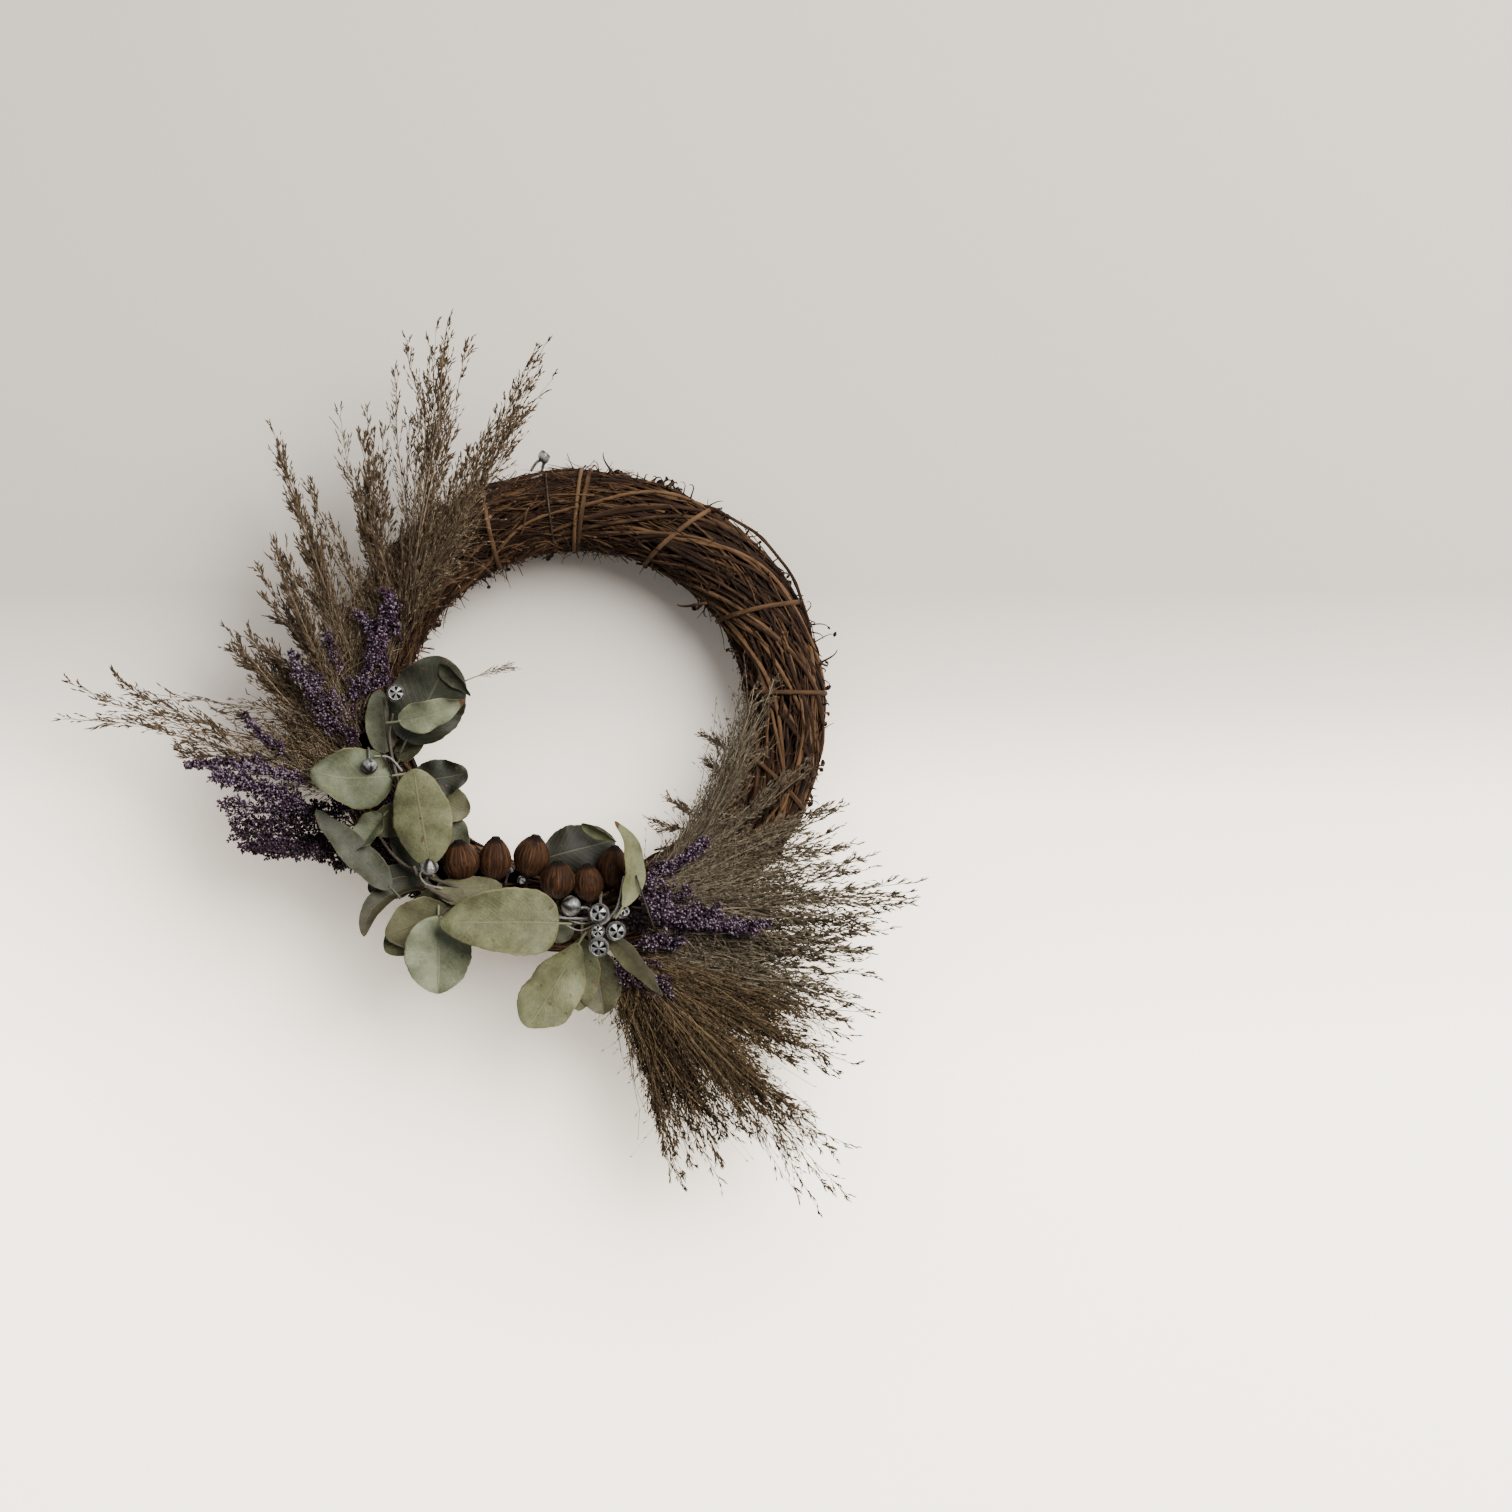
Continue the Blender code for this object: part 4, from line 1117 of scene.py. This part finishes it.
cad_leaf("leaf_low_round", LOWER_LEFT, sage_skin, "leaf_sage", 1.0, 1.06, (1, 0), waist=0.92, blunt=0.50,
         bend=0.2, wave=0.05, fold=0.12, tone=0.72)
cad_leaf("leaf_long", BOTTOM, gold_skin, "leaf_sage", 1.06, 1.14, (2, 0), waist=0.62, blunt=0.60,
         cup=0.14, bend=-0.35, wave=0.07, waves=1.2, tone=0.48, twist=0.2)
cad_leaf("leaf_bottom_gold", BOTTOM, gold_skin, "leaf_sage", 1.0, 1.34, (2, 0), waist=1.32, blunt=0.52,
         cup=-0.10, bend=0.4, wave=0.06, tone=0.60, dry=(0.8, 0.4))
cad_leaf("leaf_inner_upright", BOTTOM, gold_skin, "leaf_sage", 1.05, 1.18, (1, 0), -0.78, waist=0.85,
         blunt=0.74, cup=0.22, bend=0.2, turn=1.5, twist=0.7, wave=0.05, tone=0.66, dry=(0.86, 1.1),
         one_side=0.5)

new_leaf("leaf_upper_grey", dark_skin, "leaf_green", (-112, -26), (-116, 12), 19, 0.016, 0.002, 0.25,
         cup=0.10, blunt=0.55, tone=0.70, bend=0.2)
new_leaf("leaf_upper_back", olive_skin, "leaf_green", (-104, -30), (-88, -8), 15, 0.011, 0.0, -0.3,
         blunt=0.55, tone=0.5, cup=0.1)
new_leaf("leaf_upper_curl", dark_skin, "leaf_green", (-79, 27), (-57, 12), 11, 0.029, 0.002, 0.7,
         waist=0.6, blunt=0.9, cup=0.25, turn=-0.5, tone=0.45, dry=(0.7, 0.5), stalk=0.0)
new_leaf("leaf_inner_brown", olive_skin, "leaf_green", (-85, -50), (-62, -61), 21, 0.013, -0.002, 0.0,
         blunt=0.5, cup=0.10, tone=0.92, wave=0.05)
new_leaf("leaf_behind_pods_left", dark_skin, "leaf_green", (-73, -92), (-68, -64), 18, 0.010, -0.002,
         -0.2, blunt=0.55, cup=0.1, tone=0.62)
new_leaf("leaf_folded", sage_skin, "leaf_sage", (-112, -62), (-128, -84), 17, 0.018, 0.003, 0.5,
         waist=0.8, blunt=0.6, fold=0.35, tone=0.30, wave=0.06)
new_leaf("leaf_folded_back", olive_skin, "leaf_green", (-98, -58), (-120, -72), 20, 0.014, 0.002, -0.3,
         blunt=0.6, cup=0.15, tone=0.60)
new_leaf("leaf_mid_dark", dark_skin, "leaf_green", (-84, -96), (-108, -70), 22, 0.010, 0.002, 0.2,
         blunt=0.6, cup=0.12, tone=0.30)
new_leaf("leaf_outer_low", dark_skin, "leaf_green", (-92, -98), (-122, -106), 20, 0.014, 0.0, 0.1,
         blunt=0.55, cup=0.12, tone=0.25, one_side=0.3)
new_leaf("leaf_curled_brown", olive_skin, "leaf_green", (-83, -104), (-146, -98), 13, 0.014, -0.002, 0.7,
         waist=0.85, blunt=0.60, turn=1.75, cup=0.30, twist=-0.25, tone=0.20, dry=(-3, 0.42))
new_leaf("leaf_low_back", gold_skin, "leaf_green", (-68, -110), (-112, -143), 30, 0.012, -0.002, 0.2,
         waist=0.85, blunt=0.55, cup=0.08, tone=0.30)
new_leaf("leaf_under_long", olive_skin, "leaf_green", (-82, -106), (-42, -104), 19, 0.021, 0.001, -0.5,
         waist=0.8, blunt=0.6, cup=-0.15, tone=0.75)
new_leaf("leaf_small_grey", dark_skin, "leaf_green", (0, -127), (-16, -135), 13, 0.017, 0.0, 0.0,
         blunt=0.55, tone=0.7)
new_leaf("leaf_bottom_olive", olive_skin, "leaf_green", (10, -138), (18, -180), 28, 0.012, -0.002, 0.0,
         waist=1.05, blunt=0.6, fold=0.12, tone=0.65, one_side=0.4)
new_leaf("leaf_bottom_mid", gold_skin, "leaf_green", (5, -134), (3, -178), 23, 0.015, -0.002, -0.2,
         waist=1.0, blunt=0.6, cup=0.06, tone=0.34)
new_leaf("leaf_behind_pods", olive_skin, "leaf_green", (-18, -88), (24, -77), 31, -0.002, -0.002, -0.1,
         waist=0.8, blunt=0.5, cup=-0.16, bend=-0.3, tone=-0.35, wave=0.07, dry=(0.7, 0.4))
new_leaf("leaf_pod_tip", gold_skin, "leaf_sage", (4, -67), (25, -78), 9, 0.004, 0.0, 0.8, waist=0.7,
         blunt=0.9, cup=0.2, tone=0.85, dry=(0.85, 0.8), stalk=0.0)
new_leaf("leaf_pointed_tan", olive_skin, "leaf_green", (20, -132), (58, -164), 15, 0.028, 0.002, 0.6,
         waist=0.7, blunt=0.85, cup=0.15, tone=0.80, turn=-0.35, twist=0.3, wave=0.04)

# The leaf stalks.
# Thin woody shoots that the leaves and gumnuts grow on, tucked in between the vines.
# They are grey brown on the left and frosted white under the gumnuts.
stalk_bark = bark("stalk bark", (0.020, 0.016, 0.012), (0.070, 0.058, 0.044), (0.165, 0.145, 0.112))
frosted_bark = bark("frosted bark", (0.030, 0.025, 0.021), (0.135, 0.120, 0.102), (0.34, 0.325, 0.30))


def smooth_route(route, steps=14):
    """A smooth path through a few places."""
    route = np.array(route, float)
    ends = np.concatenate([[2 * route[0] - route[1]], route, [2 * route[-1] - route[-2]]])
    t = np.linspace(0, 1, steps, endpoint=False)[:, None]
    path = []
    for a, b, c, d in zip(ends, ends[1:], ends[2:], ends[3:]):
        path.append(b + 0.5 * t * (c - a + t * (2 * a - 5 * b + 4 * c - d + t * (3 * (b - c) + d - a))))
    return np.concatenate([*path, route[-1:]])


def grow_shoot(heap, route, thick, thin, tone):
    """A woody shoot through places: offsets across and up, and a height over the bundle, in millimetres."""
    path = smooth_route([beside_ring(dx, dz, above / 1000) for dx, dz, above in route])
    share = np.linspace(0, 1, len(path))
    knots = 1 + 0.18 * np.sin(share * 19 + draw.uniform(0, 6)) ** 8
    radii = (thick + (thin - thick) * share) * knots
    add_tubes(heap, in_front_of_wall(path)[None], radii[None], 10, tone, draw, 0.05)


shoots = Heap()
for route, thick, thin, tone in (
    (((-88, -92, 8), (-100, -60, 16), (-106, -36, 22), (-110, -10, 24), (-112, 8, 25)), 0.0013, 0.0007, 0.45),
    (((-88, -80, 14), (-102, -46, 22), (-108, -18, 27), (-106, -2, 30)), 0.0010, 0.0006, 0.6),
    (((-40, -124, 16), (-72, -112, 22), (-88, -102, 26), (-94, -92, 28)), 0.0017, 0.0010, 0.35),
    (
        ((-36, -118, 16), (-64, -106, 20), (-84, -99, 22), (-104, -88, 20), (-118, -70, 16)),
        0.0012, 0.0007, 0.3,
    ),
    (((-70, -108, 12), (-96, -104, 14), (-112, -112, 14)), 0.0010, 0.0006, 0.3),
    (((-46, -122, 14), (-70, -116, 18), (-80, -122, 20)), 0.0012, 0.0007, 0.4),
):
    grow_shoot(shoots, route, thick, thin, tone)
shoots.piece("shoots_brown", stalk_bark)
white_shoots = Heap()
for route, thick in (
    (((16, -108, 4), (14, -122, 18), (2, -123, 24), (-12, -122, 26)), 0.0012),
    (((30, -112, 6), (20, -124, 20), (14, -128, 26), (15, -134, 30)), 0.0013),
    (((14, -124, 22), (6, -126, 24), (-2, -124, 22), (-10, -120, 20)), 0.0009),
    (((14, -126, 24), (4, -130, 24), (-6, -126, 24)), 0.0008),
    (((20, -124, 18), (26, -116, 22), (30, -98, 26)), 0.0010),
    (((-74, -106, 18), (-86, -103, 26), (-90, -97, 30), (-86, -92, 31)), 0.0009),
    (((-101, -36, 24), (-108, -28, 28), (-117, -27, 32)), 0.0009),
    (((-37, 134, -14), (-29, 138, -12), (-20, 141, -12)), 0.0009),
):
    grow_shoot(white_shoots, route, thick * 0.75, thick * 0.5, 0.6)
white_shoots.piece("shoots_frosted", frosted_bark)

# The seed pods.
# Six egg-shaped dry pods in a row along the foot of the hole, red-brown and furrowed, with a dark crown.
# Each stands on a short woody stem, pushed in among the vines.
husk_look, add, finish = new_finish("pod husk")
grain, tone = grain_and_tone(add)
furrows = noise(add, along_grain(add, grain, 22, 2.2, 22), 1.0, 5.0, 0.6)
patch = noise(add, add("TexCoord").outputs["Object"], 130.0, 3.0)
# The worn patches are laid over the tone, which holds painted shade in the furrows.
worn_and_furrow_shade = maths(add, "MULTIPLY_ADD", patch, 0.5, maths(add, "ADD", furrows, tone))
shade = colour_steps(
    add, stretch(add, worn_and_furrow_shade, 0.45, 1.75), (0.0, 0.004, 0.0020, 0.0012), (0.40, 0.016, 0.0066, 0.0028),
    (0.72, 0.050, 0.0205, 0.0080), (1.0, 0.135, 0.060, 0.024),
)
finish({
    "Base Color": shade,
    "Normal": relief(add, furrows, 0.0006, 0.7),
    "Roughness": 0.68,
    "Specular IOR Level": 0.12,
})


def turn_shape(heap, base, axis, distance, radius, shift, tone):
    """A turned surface: distance along the axis and radius, both [ring, side], from its foot to its top."""
    rings, sides = radius.shape
    side = unit(np.cross(axis, (0.31, 0.22, 0.93) if abs(axis[2]) < 0.9 else (1.0, 0.1, 0.0)))
    up = np.cross(axis, side)
    around = 2 * pi * np.arange(sides) / sides
    spread = side * np.cos(around)[:, None] + up * np.sin(around)[:, None]
    points = base + axis * distance[..., None] + spread * radius[..., None]
    share = np.linspace(0, 1, rings)[:, None]
    grain = np.stack(np.broadcast_arrays(np.cos(around), share, np.sin(around)), axis=-1) + shift
    heap.add(points, *tube_faces(rings, sides), grain, np.broadcast_to(tone, radius.shape))


for i in range(1, 7):
    node = f"seed_pod_{i}"
    base, axis, across, face, height, width = lie_of(node, beside_ring(0, -200))
    if axis[2] < 0:
        base, axis = base + axis * height, -axis
    share = np.linspace(0, 1, 72)[:, None]
    around = 2 * pi * np.arange(120) / 120
    body = np.sin(pi * np.clip(share, 0.004, 0.996) ** 0.90) ** 0.60
    crown = 0.22 * np.exp(-(((share - 0.99) / 0.03) ** 2)) + 0.10 * np.exp(-((share / 0.03) ** 2))
    wobble = 0.16 * np.sin(5 * share + i) + 0.07 * np.sin(17 * share + 2 * i)
    ridges = 0
    for folds in (9, 13, 17, 22, 29, 37):
        phase = draw.uniform(0, 2 * pi, 2)
        ridges = ridges + np.sin(folds * around + phase[0] + 9 * wobble * np.sin(2 * around + phase[1])) / 6
    ridges = np.clip(1 - 1.6 * np.abs(ridges), 0, 1)
    furrow = 0.045 * (0.7 - ridges**3) * np.sin(pi * share) ** 0.6
    ridges = 1 - ridges**2
    lumpy = 0.02 * np.sin(3 * around + i) * np.sin(pi * share)
    radius = width / 2 * (np.sqrt(body**2 + crown**2) + furrow + lumpy)
    top, foot = np.clip((share - 0.86) / 0.08, 0, 1), np.clip((0.12 - share) / 0.12, 0, 1)
    # Painted shade: the tone is darker in the furrows and lighter on the ridges. It is also darker towards
    # the foot, and the crown is dark in the pod's own colour.
    tone = 0.10 + 0.60 * ridges - 0.75 * top - 0.35 * foot
    pod = Heap()
    turn_shape(pod, base, axis, share * height + 0 * around, np.maximum(radius, 0.0002), 3.1 * i, tone)
    stem = base - axis * np.linspace(0.012, -0.001, 8)[:, None]
    add_tubes(pod, in_front_of_wall(stem)[None], 0.0009, 8, 0.1, draw)
    pod.piece(node + "_husk", husk_look, [node])

# The gumnuts.
# Woody seed cups with a silver bloom and dark slots in a star over the open end, and some closed buds.
# They stand on their own stalks at the ends of the shoots.
bloom, add, finish = new_finish("frosted gumnut")
tone = grain_and_tone(add)[1]
rubbed = noise(add, add("TexCoord").outputs["Object"], 420.0, 5.0, 0.7)
shade = colour_steps(
    add, stretch(add, maths(add, "ADD", rubbed, tone), 0.45, 1.4), (0.0, 0.010, 0.008, 0.007),
    (0.38, 0.050, 0.045, 0.040), (0.66, 0.17, 0.17, 0.16), (1.0, 0.50, 0.51, 0.51),
)
finish({"Base Color": shade, "Normal": relief(add, rubbed, 0.0006, 0.6), "Metallic": 0.45, "Roughness": 0.34})
CLOSED_OUTLINE = (
    (0, 0.12), (0.06, 0.4), (0.2, 0.75), (0.4, 0.98), (0.6, 1.0), (0.8, 0.74), (0.94, 0.34), (1, 0.05),
)
OPEN_OUTLINE = (
    (0, 0.14), (0.05, 0.42), (0.16, 0.68), (0.36, 0.90), (0.6, 1.0), (0.78, 0.99), (0.92, 0.88), (1, 0.80),
)


def grow_gumnut(name, rim, axis, radius, slots, nodes=(), closed=False):
    """A seed cup from its stalk to its slotted end, or a closed bud with a pointed end."""
    height = (2.1 if closed else 1.65) * radius
    share = np.linspace(0, 1, 34)[:, None]
    places, widths = np.array(CLOSED_OUTLINE if closed else OPEN_OUTLINE).T
    skin = np.interp(share, places, widths)
    skin = 0.25 * np.roll(skin, 1, axis=0) + 0.5 * skin + 0.25 * np.roll(skin, -1, axis=0)
    skin[0], skin[-1] = widths[0], widths[-1]
    around = 2 * pi * np.arange(64) / 64
    ribs = 0.02 * np.sin(slots * 2 * around) * np.sin(pi * share)
    distance = share * height + 0 * around
    reach = radius * (skin + ribs)
    tone = 0.30 + 0.40 * np.sin(pi * share) + 0 * around
    if closed:
        seams = np.abs(np.sin(2.5 * around + 1.5 * share)) ** 5 * share
        tone = tone - 0.7 * seams - 0.5 * np.clip(share * 8 - 7.2, 0, 1)
    else:
        inward = np.linspace(0.78, 0.02, 22)[:, None]
        star = np.clip(np.cos(slots * around) * 1.6 - 0.35 - 0.5 * np.abs(inward - 0.38), 0, 0.45) / 0.45
        star = star * (inward < 0.70)
        dome = 0.06 * np.cos(inward * 3.2) - 0.05
        disc = height * (1 + dome) - 0.30 * height * star
        distance = np.concatenate([distance, disc])
        reach = np.concatenate([reach, radius * inward + 0 * around])
        tone = np.concatenate([tone, 0.55 - 0.95 * star + 0.1 * (1 - inward)])
    cup = Heap()
    turn_shape(cup, rim - axis * height, axis, distance, reach, 0.0, tone)
    steps = np.linspace(0, 1, 12)[:, None]
    arch = np.array([0.0, 0.0, 0.0015]) * np.sin(pi * steps)
    stem = rim - axis * (height + 0.009 * (1 - steps) - 0.0005) + arch
    add_tubes(cup, in_front_of_wall(stem)[None], np.linspace(0.0008, 0.0010, 12)[None], 8, 0.45, draw)
    cup.piece(name, bloom, nodes)


for node, way, share, slots in (
    ("gumnut_top", (0.66, -0.1, 0.75), 0.60, 4),
    ("gumnut_left", (0.1, -1, 0.1), 0.90, 5),
    ("gumnut_upper", (-0.1, -1, 0.15), 1, 4),
    ("gumnut_right", (0.2, -1, 0), 1, 4),
    ("gumnut_lower", (0, -1, -0.15), 1, 5),
):
    points = corners_of(node)
    spans = points @ unit(np.array(way))
    foot = points[spans < spans.min() + 0.0005].mean(axis=0)
    rim = points[spans > spans.max() - 0.0015].mean(axis=0)
    axis = unit(rim - foot)
    aside = np.linalg.norm(points - foot - ((points - foot) @ axis)[:, None] * axis, axis=1)
    grow_gumnut(node + "_cup", rim, axis, aside.max() * share, slots, [node])
for name, dx, dz, above, way, size, slots, closed in (
    ("gumnut_star", 15, -130, 0.036, (0.05, -1, 0.1), 0.0042, 5, False),
    ("gumnut_long", -7, -114, 0.027, (-0.85, -0.45, 0.25), 0.0062, 4, True),
    ("gumnut_by_pod", -84, -87, 0.031, (0.15, -0.45, 0.9), 0.0056, 4, True),
    ("gumnut_on_kidney", -119, -37, 0.036, (0.1, -0.6, -0.8), 0.0048, 4, True),
    ("gumnut_dark", 30, -118, 0.020, (0.4, -0.8, 0.3), 0.0044, 4, False),
    ("bud_a", -37, -92, 0.008, (0.3, -0.5, 0.8), 0.0024, 4, True),
    ("bud_b", -32, -99, 0.009, (-0.2, -0.7, 0.6), 0.0026, 4, True),
    ("bud_c", 2, -97, 0.010, (0.1, -0.6, 0.8), 0.0022, 4, True),
    ("bud_top", -18, 153, -0.016, (0.2, -0.2, 1.0), 0.0026, 4, True),
):
    grow_gumnut(name, beside_ring(dx, dz, above), unit(np.array(way, float)), size, slots, (), closed)
